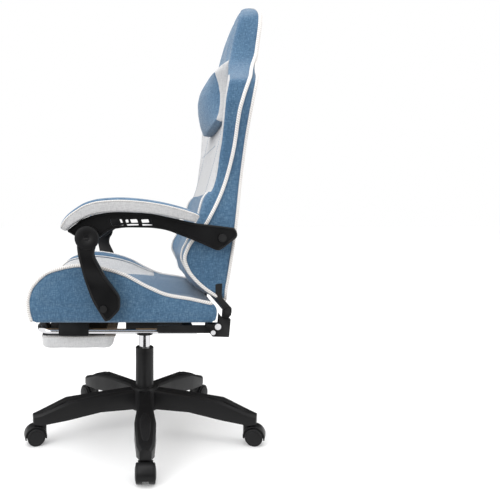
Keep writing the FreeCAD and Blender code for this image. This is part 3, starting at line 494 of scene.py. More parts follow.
UPRIGHT = ((430, 430, 110), (110, 110, 430))
LYING = ((430, 110, 430), (110, 430, 110))
BLUES = ((0.028, 0.078, 0.150), (0.068, 0.148, 0.250), (0.175, 0.295, 0.410))
GREYS = ((0.40, 0.40, 0.41), (0.53, 0.53, 0.535), (0.65, 0.65, 0.65))
blue_back = woven("denim_upright", *BLUES, *UPRIGHT)
blue_seat = woven("denim_lying", *BLUES, *LYING)
grey_back = woven("light_cloth_upright", *GREYS, *UPRIGHT, sheen=0.2)
grey_seat = woven("light_cloth_lying", *GREYS, *LYING, sheen=0.2)
grey_rest = woven("light_cloth_rest", (0.55, 0.55, 0.56), (0.69, 0.69, 0.695), (0.80, 0.80, 0.80), *LYING, sheen=0.2)
# painted shade: a darker copy of the blue cloth for the walls of the pillow-band slots, standing for the shade
# inside the holes
slot_shade_lining = woven("slot_shade_lining", (0.012, 0.035, 0.09), (0.025, 0.07, 0.15), (0.05, 0.11, 0.21), *UPRIGHT)
piping = twisted("piping_cord", (0.86, 0.84, 0.82), (0.56, 0.53, 0.50))
thread_blue = twisted("thread_blue", (0.10, 0.20, 0.33), (0.04, 0.10, 0.19))
thread_pale = twisted("thread_pale", (0.80, 0.79, 0.77), (0.55, 0.53, 0.51))
SLOT_MATERIALS = {
    "nylon_black": moulded("nylon_black", (0.007, 0.007, 0.0075), 0.40, 900, 0.00018),
    "plastic_black": moulded("plastic_black", (0.006, 0.006, 0.0065), 0.34, 1500, 0.0001),
    "castor_tread": moulded("castor_tread", (0.009, 0.009, 0.0095), 0.45, 1100, 0.0001),
    "steel_black": moulded("steel_black", (0.008, 0.008, 0.0085), 0.32, 700, 0.00012),
    "steel_bright": metal("steel_bright", (0.55, 0.55, 0.57), 0.28, (1, 1, 8)),
    "chrome": metal("chrome", (0.83, 0.83, 0.85), 0.09),
    "board_wood": wooden("board_wood"),
    "strap_dark": webbing("strap_dark"),
    "board_dark": moulded("board_dark", (0.03, 0.03, 0.032), 0.6, 500, 0.0002),
    "denim_blue": blue_seat,
    "fabric_light": grey_seat,
}
SLOT_OF = {row["node"]: row["material_slot"] for row in frame["record"]["subparts"]}
BODY_OF = {node: body for body, nodes in frame["record"]["behaviour"]["bodies"].items() for node in nodes}
for node, obj in NODES.items():
    for holder in obj.material_slots:
        holder.link = "OBJECT"
        holder.material = SLOT_MATERIALS[SLOT_OF[node]]


def stands_for(obj, node, *more):
    """The piece replaces CAD nodes and rides on their body."""
    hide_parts(node, *more)
    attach(obj, BODY_OF[node])
    return obj


# ---------------------------------------------------------------- backrest
seat_low, seat_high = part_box("seat_bolster_left")
shaft_low, shaft_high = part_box("recliner_shaft")
pivot = Vector((0, (shaft_low.y + shaft_high.y) / 2, (shaft_low.z + shaft_high.z) / 2))

HALF_WIDTH = through((.0235, .232), (.05, .247), (.09, .251), (.15, .252), (.20, .2505), (.24, .244), (.33, .232),
                     (.43, .240), (.53, .257), (.575, .251), (.60, .215), (.65, .160), (.70, .146), (.74, .140),
                     (.772, .130), (.789, .115), (.803, .095), (.815, .07), (.824, .045), (.830, .02))
REAR = through((.0235, -.004), (.24, .026), (.502, .056), (.69, .093), (.785, .104), (.803, .101), (.816, .094),
               (.830, .083))
WING_FRONT = through((.0235, -.0075), (.0666, -.071), (.107, -.104), (.140, -.116), (.183, -.098), (.225, -.078),
                     (.290, -.058), (.306, -.044), (.35, -.0314), (.398, -.026), (.432, -.021), (.477, -.018),
                     (.527, -.015), (.577, -.0054), (.66, .0157), (.70, .0225), (.742, .033), (.775, .0425),
                     (.80, .053), (.815, .0625), (.830, .077))
SIDE_PIPING = through((.0235, -.0066), (.0666, -.0712), (.107, -.103), (.140, -.1097), (.183, -.0864),
                      (.225, -.0535), (.33, -.0054), (.422, .015), (.4966, .0232), (.547, .0368), (.62, .065),
                      (.6915, .092), (.733, .1046), (.84, .11))
CENTRE = through((.0235, -.030), (.045, -.068), (.075, -.098), (.12, -.104), (.17, -.086), (.24, -.064),
                 (.43, -.012), (.56, .010), (.668, .014), (.74, .029), (.78, .043), (.80, .0515), (.815, .0615),
                 (.830, .0765))
INNER = through((.0, .165), (.55, .165), (.66, .085), (.84, .04))
BACK_FOOT, BACK_ROW, BACK_ROWS = .0235, .0093, 82
RUNS = (6, 1, 6, 4, 2, 2, 6, 8)
REAR_EDGE, SIDE_SEAM, FRONT_EDGE, WING_SEAM, CENTRE_SEAM = 7, 13, 19, 21, 27


def back_half(up):
    """Left half of the backrest's outline at a height above the pivot, from the rear to the front."""
    wide, rear, front = HALF_WIDTH(up), REAR(up), WING_FRONT(up)
    seam = max(min(SIDE_PIPING(up), rear - .006), front + .003)
    centre, inner = CENTRE(up), min(INNER(up), wide * .62)
    depth = rear - front
    soft = min(1.0, depth / .05)
    tuck = min(.012 * soft, (seam - front) * .5)
    lip = min(.022, wide * .2)
    keys = [
        (0, rear), (wide - .013 * soft, rear - .001), (wide - .003 * soft, rear - .004 * soft), (wide, seam),
        (wide - .005 * soft, front + tuck), (wide - lip * .7, front), (wide - lip * 1.7, front + .002 * soft),
        (inner, centre), (0, centre - .004),
    ]
    half = spread([Vector((x, y, 0)) for x, y in keys], RUNS)
    for i in range(WING_SEAM + 1, CENTRE_SEAM):
        t = (i - WING_SEAM) / (CENTRE_SEAM - WING_SEAM)
        half[i].y += (centre - front - .002) * .16 * math.sin(math.pi * t) * (1 if centre > front else 0)
    return [Vector((p.x, pivot.y + p.y, pivot.z + up)) for p in half]


def nearest_row(up):
    return min(range(len(ups)), key=lambda i: abs(ups[i] - up))


ups = [BACK_FOOT + BACK_ROW * i for i in range(BACK_ROWS)] + [.785, .793, .801, .808, .8145, .820, .8245, .828, .830]
halves = [back_half(up) for up in ups]
half_count = len(halves[0])
LUMBAR_TOP = nearest_row(.298)
GREY_TOP = nearest_row(.598)
SEAM_ROWS = [nearest_row(up) for up in (.235, .42)]


def back_panel(row, index):
    place = column(index, half_count)
    return 1 if LUMBAR_TOP <= row < GREY_TOP and place >= FRONT_EDGE - 1 else 0


back_rings = [both(half) for half in halves]
upholstery = loft("back_upholstery", back_rings, [blue_back, grey_back], back_panel)
ring_count = len(back_rings[0])
pins = set()
for row in range(len(ups)):
    for index in range(ring_count):
        place = index if index < half_count else ring_count - index
        sewn = place <= REAR_EDGE or place in (SIDE_SEAM, CENTRE_SEAM)
        sewn = sewn or (place == WING_SEAM and row < LUMBAR_TOP) or (place == FRONT_EDGE - 1 and row >= LUMBAR_TOP)
        sewn = sewn or (row == LUMBAR_TOP and FRONT_EDGE - 1 <= place <= CENTRE_SEAM)
        sewn = sewn or (row in SEAM_ROWS and place >= CENTRE_SEAM) or row < 2 or row == len(ups) - 1
        if sewn:
            pins.add(row * ring_count + index)
pins |= set(range(len(ups) * ring_count, len(upholstery.data.vertices)))
puff(upholstery, pins, 4.0, 0.009, 0.2565)

strap_low, strap_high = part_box("pillow_strap")
slot_middle = (strap_low.z + strap_high.z) / 2
SLOT_ACROSS, SLOT_WIDE, SLOT_TALL = .120, .0135, .032
cutters = []
for side in (1, -1):
    rings = []
    for y in (pivot.y - .1, pivot.y + .2):
        ring = []
        for i in range(28):
            turn = 2 * math.pi * i / 28
            ring.append(Vector((side * SLOT_ACROSS + SLOT_WIDE * soft(math.cos(turn), 1.3), y,
                                slot_middle + SLOT_TALL * math.sin(turn))))
        rings.append(ring)
    cutter = loft(f"slot_cutter_{'left' if side > 0 else 'right'}", rings, [slot_shade_lining])
    hole = upholstery.modifiers.new("slot", "BOOLEAN")
    hole.object = cutter
    hole.solver = "EXACT"
    # the hole walls take the cutter's darker lining, which is painted shade
    hole.material_mode = "TRANSFER"
    cutters.append(cutter)
settle(upholstery)
for cutter in cutters:
    bpy.data.objects.remove(cutter)
stands_for(upholstery, "backrest_pad", "backrest_cover", "backrest_wing_left", "backrest_wing_right",
           "lumbar_wing_left", "lumbar_wing_right")

SIDES = ((1, "left"), (-1, "right"))
for side, label in SIDES:
    rope(f"back_side_piping_{label}",
         seam(halves, side, SIDE_SEAM, range(0, len(ups) - 3, 3), (.0015, 0, 0)), .0045, piping)
    rope(f"back_rear_piping_{label}",
         seam(halves, side, REAR_EDGE, range(0, len(ups) - 1, 3), (-.001, .001, 0)), .0038, piping)
    rope(f"lumbar_wing_piping_{label}",
         seam(halves, side, WING_SEAM, range(2, LUMBAR_TOP + 1, 2), (0, -.0012, 0)), .0036, piping)
    stitches(f"back_centre_stitch_{label}",
             seam(halves, side, CENTRE_SEAM, range(3, GREY_TOP, 2), (.005, -.002, 0)), thread_blue)
for number, row in enumerate(SEAM_ROWS, start=1):
    line = [Vector((x, halves[row][-1].y - .0035, halves[row][0].z + .004)) for x in (-.15, -.075, 0, .075, .15)]
    stitches(f"back_cross_stitch_{number}", line, thread_blue)

# ---------------------------------------------------------------- seat
SEAT_STATIONS = (
    # outer top edge (y, z), centre panel edge (y, z), underside y, crown
    (-.2875, .379, -.290, .384, -.280, 0), (-.294, .400, -.297, .405, -.272, .001),
    (-.297, .426, -.299, .428, -.262, .002), (-.291, .457, -.294, .446, -.250, .003),
    (-.276, .480, -.284, .454, -.235, .004), (-.2457, .505, -.262, .4585, -.215, .006),
    (-.2153, .515, -.225, .459, -.190, .008), (-.186, .5213, -.190, .4585, -.165, .010),
    (-.165, .523, -.165, .458, -.145, .010), (-.120, .518, -.120, .4565, -.110, .010),
    (-.0836, .510, -.0836, .455, -.075, .010), (-.048, .4974, -.048, .4535, -.040, .010),
    (.005, .4695, .005, .4515, .010, .010), (.058, .448, .058, .4465, .060, .010),
    (.111, .439, .111, .4405, .105, .009), (.150, .4305, .150, .4325, .140, .006),
    (.1755, .4240, .172, .4260, .162, .003), (.1815, .411, .180, .412, .170, .001),
    (.180, .393, .179, .393, .168, 0), (.175, .380, .172, .381, .163, 0),
)
travel = [0.0]
for a, b in zip(SEAT_STATIONS, SEAT_STATIONS[1:]):
    travel.append(travel[-1] + math.hypot(b[0] - a[0], b[1] - a[1]))
seat_tables = [through(*zip(travel, [row[k] for row in SEAT_STATIONS])) for k in range(6)]
SEAT_RUNS = (6, 1, 8, 1, 1, 1, 6, 8)
SIDE_LOW, OUTER_SEAM, BAND_SEAM, SEAT_SEAM = 7, 15, 18, 24
SEAT_HALF = seat_high.x - .0045


def seat_half_ring(s):
    """Left half of the seat's skin at a distance along its outer edge, from underneath to the top."""
    oy, oz, cy, cz, by, crown = [table(s) for table in seat_tables]
    floor = seat_low.z
    tall = max(oz - cz, 0)
    inward = min(.020, .008 + tall * .3)
    rise = min(.004, tall * .1)
    keys = [
        (0, by, floor), (SEAT_HALF - .012, by, floor), (SEAT_HALF - .002, mix(by, oy, .05), floor + .004),
        (SEAT_HALF, oy, oz), (SEAT_HALF - .006, oy, oz + rise), (SEAT_HALF - .012, oy, oz + rise),
        (SEAT_HALF - .002 - inward, oy, oz + rise * .4), (.178, cy, cz), (0, cy, cz + crown),
    ]
    half = spread([Vector(k) for k in keys], SEAT_RUNS)
    for i in range(BAND_SEAM + 1, SEAT_SEAM):
        t = (i - BAND_SEAM) / (SEAT_SEAM - BAND_SEAM)
        half[i].z += tall * .16 * math.sin(math.pi * t)
    for i in range(SEAT_SEAM + 1, len(half)):
        t = (i - SEAT_SEAM) / (len(half) - 1 - SEAT_SEAM)
        half[i].z = cz + crown * math.sin(math.pi / 2 * t)
    return half


seat_rows = 72
seat_halves = [seat_half_ring(travel[-1] * i / seat_rows) for i in range(seat_rows + 1)]
seat_count = len(seat_halves[0])


def row_near(y):
    return min(range(12, seat_rows), key=lambda i: abs(seat_halves[i][OUTER_SEAM].y - y))


GREY_REAR = row_near(.035)
CROSS_SEAM = row_near(.10)


def seat_panel(row, index):
    place = column(index, seat_count)
    return 1 if row < GREY_REAR and BAND_SEAM + 2 <= place < SEAT_SEAM else 0


seat_rings = [both(half) for half in seat_halves]
seat = loft("seat_upholstery", seat_rings, [blue_seat, grey_seat], seat_panel)
seat_ring = len(seat_rings[0])
pins = set()
for row in range(seat_rows + 1):
    for index in range(seat_ring):
        place = index if index < seat_count else seat_ring - index
        sewn = place <= SIDE_LOW or place in (OUTER_SEAM, BAND_SEAM, SEAT_SEAM)
        if sewn or row in (0, seat_rows) or (row == CROSS_SEAM and place > SEAT_SEAM):
            pins.add(row * seat_ring + index)
pins |= set(range((seat_rows + 1) * seat_ring, len(seat.data.vertices)))
puff(seat, pins, 4.0, 0.009, seat_high.x - .0005)
stands_for(seat, "seat_cushion", "seat_bolster_left", "seat_bolster_right")

for side, label in SIDES:
    rope(f"seat_edge_piping_{label}",
         seam(seat_halves, side, OUTER_SEAM, range(0, seat_rows - 5, 2), (-.001, 0, .0015)), .0045, piping, "seat")
    rope(f"seat_band_piping_{label}",
         seam(seat_halves, side, BAND_SEAM + 2, range(8, GREY_REAR + 1, 2), (0, 0, .003)), .0017, piping, "seat")
    stitches(f"seat_centre_stitch_{label}",
             seam(seat_halves, side, SEAT_SEAM, range(8, seat_rows - 8, 2), (-.005, 0, .0028)), thread_blue, "seat")

# ---------------------------------------------------------------- head pillow
PILLOW_KEYS = (
    # middle (y, z), end (y, z)
    (.220, .894, .214, .905), (.198, .888, .202, .902), (.178, .889, .190, .908), (.166, .915, .197, .925),
    (.159, .948, .201, .950), (.157, .980, .201, .975), (.163, 1.008, .196, 1.002), (.180, 1.036, .184, 1.033),
    (.203, 1.060, .206, 1.053), (.228, 1.074, .226, 1.066), (.228, 1.02, .226, 1.02), (.224, .95, .222, .95),
)
PILLOW_FRONT = (1, 7)
PILLOW_CELLS = 4
PILLOW_TOP_SEAM, PILLOW_BACK = 28, 36
PILLOW_HALF = .132
PILLOW_COLUMNS = 36


def pillow_ring(x):
    """Outline of the pillow at a distance across, from its back edge round the front."""
    t = min(abs(x) / PILLOW_HALF, 1.0) ** 2.4
    points = [Vector((x, mix(a, c, t), mix(b, e, t))) for a, b, c, e in PILLOW_KEYS]
    ring = []
    for p, following in zip(points, points[1:] + points[:1]):
        ring += [mix(p, following, k / PILLOW_CELLS) for k in range(PILLOW_CELLS)]
    return ring


pillow_rings = [pillow_ring(-PILLOW_HALF + 2 * PILLOW_HALF * i / PILLOW_COLUMNS)
                for i in range(PILLOW_COLUMNS + 1)]
for sign in (-1, 1):
    end = pillow_rings[0] if sign < 0 else pillow_rings[-1]
    extra = []
    for x, pull in ((.1355, .30), (.1385, .72), (.1395, .94)):
        extra.append([Vector((sign * x, mix(p.y, .2225, pull), mix(p.z, .982 + (p.z - .982) * .97, pull)))
                      for p in end])
    pillow_rings = extra[::-1] + pillow_rings if sign < 0 else pillow_rings + extra
pillow_rows = len(pillow_rings)


def pillow_panel(row, index):
    inside = 3 <= row < pillow_rows - 4
    return 0 if inside and PILLOW_FRONT[0] - 1 <= index // PILLOW_CELLS < PILLOW_FRONT[1] else 1


pillow = loft("head_pillow_cover", pillow_rings, [blue_back, grey_back], pillow_panel, 1)
ring_size = len(pillow_rings[0])
pins = {row * ring_size + index for row in range(pillow_rows) for index in range(ring_size)
        if index >= PILLOW_BACK or index in (0, PILLOW_TOP_SEAM)
        or row in (0, 1, 3, pillow_rows - 4, pillow_rows - 2, pillow_rows - 1)}
pins |= set(range(pillow_rows * ring_size, len(pillow.data.vertices)))
puff(pillow, pins, 4.0, 0.007)
stands_for(pillow, "head_pillow")
stitches("pillow_top_stitch", [Vector((p.x, p.y + .004, p.z + .004)) for p in
                               (pillow_rings[r][PILLOW_TOP_SEAM] for r in range(4, pillow_rows - 4, 3))],
         thread_pale, "backrest")

# the elastic band that holds the pillow, through both slots and behind the back
band_y = (strap_low.y, strap_high.y)
corner = .008
outer = strap_high.x
path = [(-outer + corner, band_y[0]), (outer - corner, band_y[0]), (outer - .002, band_y[0] + .002),
        (outer, band_y[0] + corner), (outer, band_y[1] - corner), (outer - .002, band_y[1] - .002),
        (outer - corner, band_y[1]), (-outer + corner, band_y[1]), (-outer + .002, band_y[1] - .002),
        (-outer, band_y[1] - corner), (-outer, band_y[0] + corner), (-outer + .002, band_y[0] + .002)]
dense = []
for i, (x, y) in enumerate(path):
    nx, ny = path[(i + 1) % len(path)]
    pieces = max(int(math.hypot(nx - x, ny - y) / .006), 1)
    dense += [(mix(x, nx, k / pieces), mix(y, ny, k / pieces)) for k in range(pieces)]
middle_y = (band_y[0] + band_y[1]) / 2
thick = .0022
verts = []
for i, (x, y) in enumerate(dense):
    before, after = dense[i - 1], dense[(i + 1) % len(dense)]
    tangent = Vector((after[0] - before[0], after[1] - before[1], 0)).normalized()
    inward = Vector((-tangent.y, tangent.x, 0))
    if inward.dot(Vector((-x, middle_y - y, 0))) < 0:
        inward = -inward
    for depth, height in ((.0003, 0), (0, .06), (0, .94), (.0003, 1), (thick - .0003, 1), (thick, .94),
                          (thick, .06), (thick - .0003, 0)):
        p = Vector((x, y, 0)) + inward * depth
        verts.append((p.x, p.y, mix(strap_low.z + .002, strap_high.z - .002, height)))
strap = make("pillow_band", verts, bands(len(dense), 8, closed=True), [SLOT_MATERIALS["strap_dark"]], sharp=40)
outwards(strap)
stands_for(strap, "pillow_strap")

# ---------------------------------------------------------------- arm pads
pin_low, pin_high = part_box("armrest_pins")
pad_low, pad_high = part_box("armrest_pad_left")
joint_y, joint_z = -.141, .596
PAD_LENGTH = .36
PAD_PAIRS = (
    # share of length, underside (back, up), top (back, up), in mm from the front joint
    (0.00, -52, 16.5, -66, 25), (0.04, -44, 24, -60, 38), (0.09, -31, 34, -48, 54), (0.16, -14, 44.5, -27, 71),
    (0.25, 8, 54, -1, 86), (0.36, 37, 60.5, 34, 94.5), (0.50, 80, 62.7, 80, 97), (0.64, 122, 61.2, 125, 94.2),
    (0.77, 165, 57, 172, 87.5), (0.89, 213, 48, 223, 75.5), (1.00, 262, 37, 274, 58),
)
pad_tables = [through(*[(row[0], row[k] / 1000) for row in PAD_PAIRS]) for k in range(1, 5)]
PAD_SECTION = ((0, .0), (.5, .0), (.90, .0), (.975, .03), (1.0, .14), (1.01, .40), (1.0, .68), (.985, .76),
               (.95, .86), (.86, .935), (.70, .975), (.45, 1.0), (.2, 1.01), (0, 1.012))
PAD_SEAM = 7
pad_middle = (pad_low.x + pad_high.x) / 2
pad_half = (pad_high.x - pad_low.x) / 2 - .001


def pad_ring(t, side):
    by, bz, ty, tz = [table(t) for table in pad_tables]
    base = Vector((0, joint_y + by, joint_z + bz + .0004))
    top = Vector((0, joint_y + ty, joint_z + tz))
    near_end = min(t * PAD_LENGTH / .026, (1 - t) * PAD_LENGTH / .018, 1.0)
    rounding = math.sqrt(max(0, 1 - (1 - near_end) ** 2))
    narrow, lower = mix(.60, 1.0, rounding), mix(.80, 1.0, rounding)
    half = []
    for across, high in PAD_SECTION:
        p = mix(base, top, high * lower if high > .5 else high)
        half.append(Vector((pad_half * across * narrow, p.y, p.z)))
    return [Vector((side * (pad_middle + p.x), p.y, p.z)) for p in both(half)]


pad_ts = [0, .006, .014, .026, .042] + [.06 + .89 * i / 50 for i in range(51)] + [.965, .978, .988, .996, 1]
for side, label in SIDES:
    rings = [pad_ring(t, side) for t in pad_ts]
    halves_of_ring = len(PAD_SECTION)

    def pad_panel(row, index):
        return 1 if column(index, halves_of_ring) >= PAD_SEAM else 0

    pad = loft(f"arm_pad_{label}", rings, [grey_seat, blue_seat], pad_panel)
    size = len(rings[0])
    pins = {row * size + index for row in range(len(rings)) for index in range(size)
            if (index if index < halves_of_ring else size - index) in (0, 1, 2, 3, PAD_SEAM)
            or row in (0, 1, len(rings) - 2, len(rings) - 1)}
    pins |= set(range(len(rings) * size, len(pad.data.vertices)))
    puff(pad, pins, 3.0, 0.0022)
    stands_for(pad, f"armrest_pad_{label}")
    for edge, start in (("outer", PAD_SEAM), ("inner", size - PAD_SEAM)):
        line = [ring[start] + Vector((0, 0, .0002)) for ring in rings[1:-1:2]]
        rope(f"arm_pad_{edge}_piping_{label}", line, .0019, piping, f"armrest_{label}", .003, 8)

# ---------------------------------------------------------------- footrest pad
rest_low, rest_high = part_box("footrest_pad")


def rounded_plan(x_half, y_low, y_high, radius, z, steps=9):
    ring = []
    for cx, cy, start in ((x_half - radius, y_high - radius, 0), (-x_half + radius, y_high - radius, 90),
                          (-x_half + radius, y_low + radius, 180), (x_half - radius, y_low + radius, 270)):
        for i in range(steps):
            turn = math.radians(start + 90 * i / (steps - 1))
            ring.append(Vector((cx + radius * math.cos(turn), cy + radius * math.sin(turn), z)))
    return evened(ring, 76)


def evened(ring, count):
    """The same closed line with points at equal distances."""
    line = ring + ring[:1]
    lengths = measured(line)
    return [at_length(line, lengths, lengths[-1] * i / count) for i in range(count)]


rest_rings = []
rest_tall = rest_high.z - rest_low.z
for z, inset, rear in ((0, .002, 0), (.06, .0006, 0), (.20, .0, .001), (.45, .0, .002), (.68, .0, .003),
                       (.83, .0005, .005), (.92, .0018, .007), (.97, .0040, .009), (.995, .0075, .012),
                       (1.0, .016, .018), (1.0, .045, .03)):
    rest_rings.append(rounded_plan(rest_high.x - inset, rest_low.y + inset, rest_high.y - inset - rear,
                                   max(.016 - inset * .3, .008), rest_high.z - .0003 - z * (rest_tall - .0006)))
rest = loft("footrest_cushion", rest_rings, [grey_rest])
size = len(rest_rings[0])
pins = set(range(size)) | set(range(len(rest_rings) * size, len(rest_rings) * size + size + 1))
puff(rest, pins, 2.0, 0.003)
for v in rest.data.vertices:
    v.co.z = min(v.co.z, rest_high.z - .0002)
stands_for(rest, "footrest_pad")
welt = [p + Vector((0, 0, -.0015)) for p in rest_rings[1] + rest_rings[1][:1]]
rope("footrest_edge_welt", welt, .0015, thread_pale, "footrest_flap", .004, 6)


# ---------------------------------------------------------------- hard parts
def dressed(node, name, bevel=.0012, segments=2, angle=28):
    """Copy of a CAD piece with softened edges."""
    mesh = NODES[node].data.copy()
    mesh.name = name
    bm = bmesh.new()
    bm.from_mesh(mesh)
    bmesh.ops.remove_doubles(bm, verts=bm.verts, dist=1e-5)
    bmesh.ops.dissolve_limit(bm, angle_limit=math.radians(1.5), use_dissolve_boundaries=False, verts=bm.verts,
                             edges=bm.edges)
    bmesh.ops.dissolve_degenerate(bm, dist=1e-5, edges=bm.edges)
    edges = [e for e in bm.edges if len(e.link_faces) == 2 and e.calc_face_angle(0) > math.radians(angle)]
    bmesh.ops.bevel(bm, geom=edges, offset=bevel, offset_type="OFFSET", segments=segments, profile=.5,
                    affect="EDGES", clamp_overlap=True)
    bm.to_mesh(mesh)
    bm.free()
    mesh.materials.clear()
    mesh.materials.append(SLOT_MATERIALS[SLOT_OF[node]])
    mesh.polygons.foreach_set("material_index", [0] * len(mesh.polygons))
    mesh.shade_smooth()
    mesh.set_sharp_from_angle(angle=math.radians(38))
    return stands_for(placed(name, mesh), node)


def between(start, end, step):
    pieces = max(int((end - start).length / step), 1)
    return [mix(start, end, m / pieces) for m in range(1, pieces)]


def rounded(corners, step=.0022):
    """Points along a closed outline of (y, z, radius) corners joined by straight runs."""
    line = []
    for k, (y, z, radius) in enumerate(corners):
        here = Vector((y, z))
        before = Vector(corners[k - 1][:2]) - here
        after = Vector(corners[(k + 1) % len(corners)][:2]) - here
        reach = .49 * min(before.length, after.length)
        before.normalize()
        after.normalize()
        half = before.angle(after) / 2
        tangent = min(radius / math.tan(half), reach)
        start, end = here + before * tangent, here + after * tangent
        if line:
            line += between(line[-1], start, step)
        count = max(int(tangent * 2 / step), 2)
        for m in range(count + 1):
            t = m / count
            line.append(start * (1 - t) ** 2 + here * 2 * t * (1 - t) + end * t * t)
    return line + between(line[-1], line[0], step)


def two_chains(line, first, last, count):
    """The outline as two chains of equal count between two of its ends, so that rungs can cross it."""
    def nearest(target):
        return min(range(len(line)), key=lambda k: (line[k] - Vector(target)).length)

    a, b = nearest(first), nearest(last)
    forward = [line[(a + k) % len(line)] for k in range((b - a) % len(line) + 1)]
    back = [line[(b + k) % len(line)] for k in range((a - b) % len(line) + 1)]
    result = []
    for chain in (forward, back):
        lengths = measured(chain)
        result += [at_length(chain, lengths, lengths[-1] * (m + .5) / count) for m in range(count)]
    return result


def plate(name, corners, ends, count, layers, bend, side, finish):
    """Moulded plate: the outline inset layer by layer, flat across, then bent sideways."""
    ring = two_chains(rounded(corners), *ends, count)
    total = len(ring)
    area = sum(ring[k].x * ring[(k + 1) % total].y - ring[(k + 1) % total].x * ring[k].y for k in range(total))
    inward = []
    for k in range(total):
        tangent = (ring[(k + 1) % total] - ring[k - 1]).normalized()
        inward.append(Vector((-tangent.y, tangent.x)) * (1 if area > 0 else -1))
    verts = []
    for inset, x in layers:
        for p, normal in zip(ring, inward):
            q = p + normal * inset
            verts.append((side * (x + bend(q)), q.x, q.y))
    faces = bands(len(layers), total)
    for base in (0, (len(layers) - 1) * total):
        for k in range(count - 1):
            faces.append((base + k, base + k + 1, base + total - 2 - k, base + total - 1 - k))
    obj = make(name, verts, faces, [finish])
    outwards(obj)
    obj.data.shade_smooth()
    obj.data.set_sharp_from_angle(angle=math.radians(40))
    return obj


def ease(t):
    t = min(max(t, 0.0), 1.0)
    return t * t * (3 - 2 * t)


def around(y, z, *rows):
    """Corners of an outline in metres, from rows of mm (back, up, radius) around a centre."""
    return [(y + back / 1000, z + up / 1000, radius / 1000) for back, up, radius in rows]


JOINT = (joint_y, joint_z)
PIN = ((pin_low.y + pin_high.y) / 2, (pin_low.z + pin_high.z) / 2)
bolt_low, bolt_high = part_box("upright_bolts")
BOLT = ((bolt_low.y + bolt_high.y) / 2, (bolt_low.z + bolt_high.z) / 2)
BEAM = around(*JOINT, (-52, 16, 4), (-17, 43, 60), (12, 55, 120), (50, 62, 300), (87, 62.5, 300), (156, 59, 300),
              (260, 36, 200))
BEAM += around(*PIN, (31, 25, 12), (40, 4, 30), (-8, -33, 16), (-60, -10, 120))
BEAM += around(*JOINT, (192, 19, 200), (156, 24, 200), (92, 25, 200), (56, 20, 40), (24, -4, 22), (0, -24, 22),
               (-24, 0, 22))
LEAF = around(*JOINT, (-25, -12, 20), (-22, -40, 60))
LEAF += around(*BOLT, (-44, 66, 200), (-28, 20, 200), (4, -32, 6), (16, -28, 6), (41, -2, 20), (42, 30, 30),
               (8, 78, 80))
LEAF += around(*JOINT, (15, -40, 60), (22, -16, 10), (0, 6, 20))
BEAM_ENDS = [corner[:2] for corner in around(*JOINT, (-52, 16, 0)) + around(*PIN, (40, 4, 0))]
LEAF_ENDS = [corner[:2] for corner in around(*JOINT, (0, 6, 0)) + around(*BOLT, (10, -31, 0))]
WINDOWS = ((54, 88), (91, 125), (129, 159))
beam_inner = .259
PLATE_LAYERS = ((.0045, 0), (.0012, .0006), (0, .0024), (0, .6), (0, -.0030), (.0006, -.0010), (.0020, 0),
                (.0044, 0), (.0052, -.0007), (.0058, -.0018))


def layers_between(x_low, x_high):
    return [(inset, mix(x_low, x_high, x) if x == .6 else (x_low + x if n < 3 else x_high + x))
            for n, (inset, x) in enumerate(PLATE_LAYERS)]


def leaf_bend(q):
    return .0285 * ease((q.y - .458) / .098)


def beam_bend(q):
    return .005 * ease((.098 - q.x) / .098)


KNUCKLE = ((0, 0), (.0275, 0), (.0295, .002), (.0295, .0185), (.0291, .0202), (.0280, .0214), (.0262, .0220),
           (.0085, .0222), (.0076, .0217), (.0068, .0208), (.0055, .0205), (0, .0205))
for side, label in SIDES:
    black = SLOT_MATERIALS["plastic_black"]
    beam = plate(f"arm_beam_{label}", BEAM, BEAM_ENDS, 120, layers_between(beam_inner, .284), beam_bend, side, black)
    windows = []
    for number, (start, end) in enumerate(WINDOWS):
        corners = around(*JOINT, (start, 44, 2), (end - 5, 45, 2), (end, 30, 2), (start + 5, 29, 2))
        opening = evened([Vector((0, y, z)) for y, z in rounded(corners, .0012)], 36)
        rings = [[Vector((side * x, p.y, p.z)) for p in opening] for x in (.24, .30)]
        window = loft(f"window_{label}_{number}", rings, [black])
        hole = beam.modifiers.new("window", "BOOLEAN")
        hole.operation = "DIFFERENCE"
        hole.object = window
        hole.solver = "EXACT"
        windows.append(window)
    settle(beam)
    for window in windows:
        bpy.data.objects.remove(window)
    beam.data.set_sharp_from_angle(angle=math.radians(40))
    stands_for(beam, f"armrest_beam_{label}")
    leaf = plate(f"arm_leaf_{label}", LEAF, LEAF_ENDS, 90, layers_between(beam_inner, .283), leaf_bend, side, black)
    stands_for(leaf, f"arm_upright_{label}")
    knuckle = lathe(f"arm_knuckle_{label}", KNUCKLE, (side * .2905, joint_y, joint_z), (side, 0, 0), black, 72)
    stem = lathe(f"arm_knuckle_pin_{label}", ((0, 0), (.0055, 0), (.006, .0005), (.006, .0245), (0, .0245)),
                 (side * .267, joint_y, joint_z), (side, 0, 0), SLOT_MATERIALS["steel_black"], 32)
    for piece in (knuckle, stem):
        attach(piece, f"upright_{label}")
    dressed(f"recliner_cover_{label}", f"recliner_guard_{label}", .001, 2)

dressed("base_star", "base_star_moulding", .0024, 3, 20)
dressed("mechanism_housing", "tilt_housing", .0012, 2)
dressed("footrest_guides", "footrest_sleeves", .0016, 3)
dressed("recline_lever", "recline_handle", .0016, 3)
dressed("height_lever", "height_handle", .0012, 2, 40)
for number in range(1, 6):
    dressed(f"castor_{number}_hood", f"castor_{number}_shroud", .0011, 2, 30)

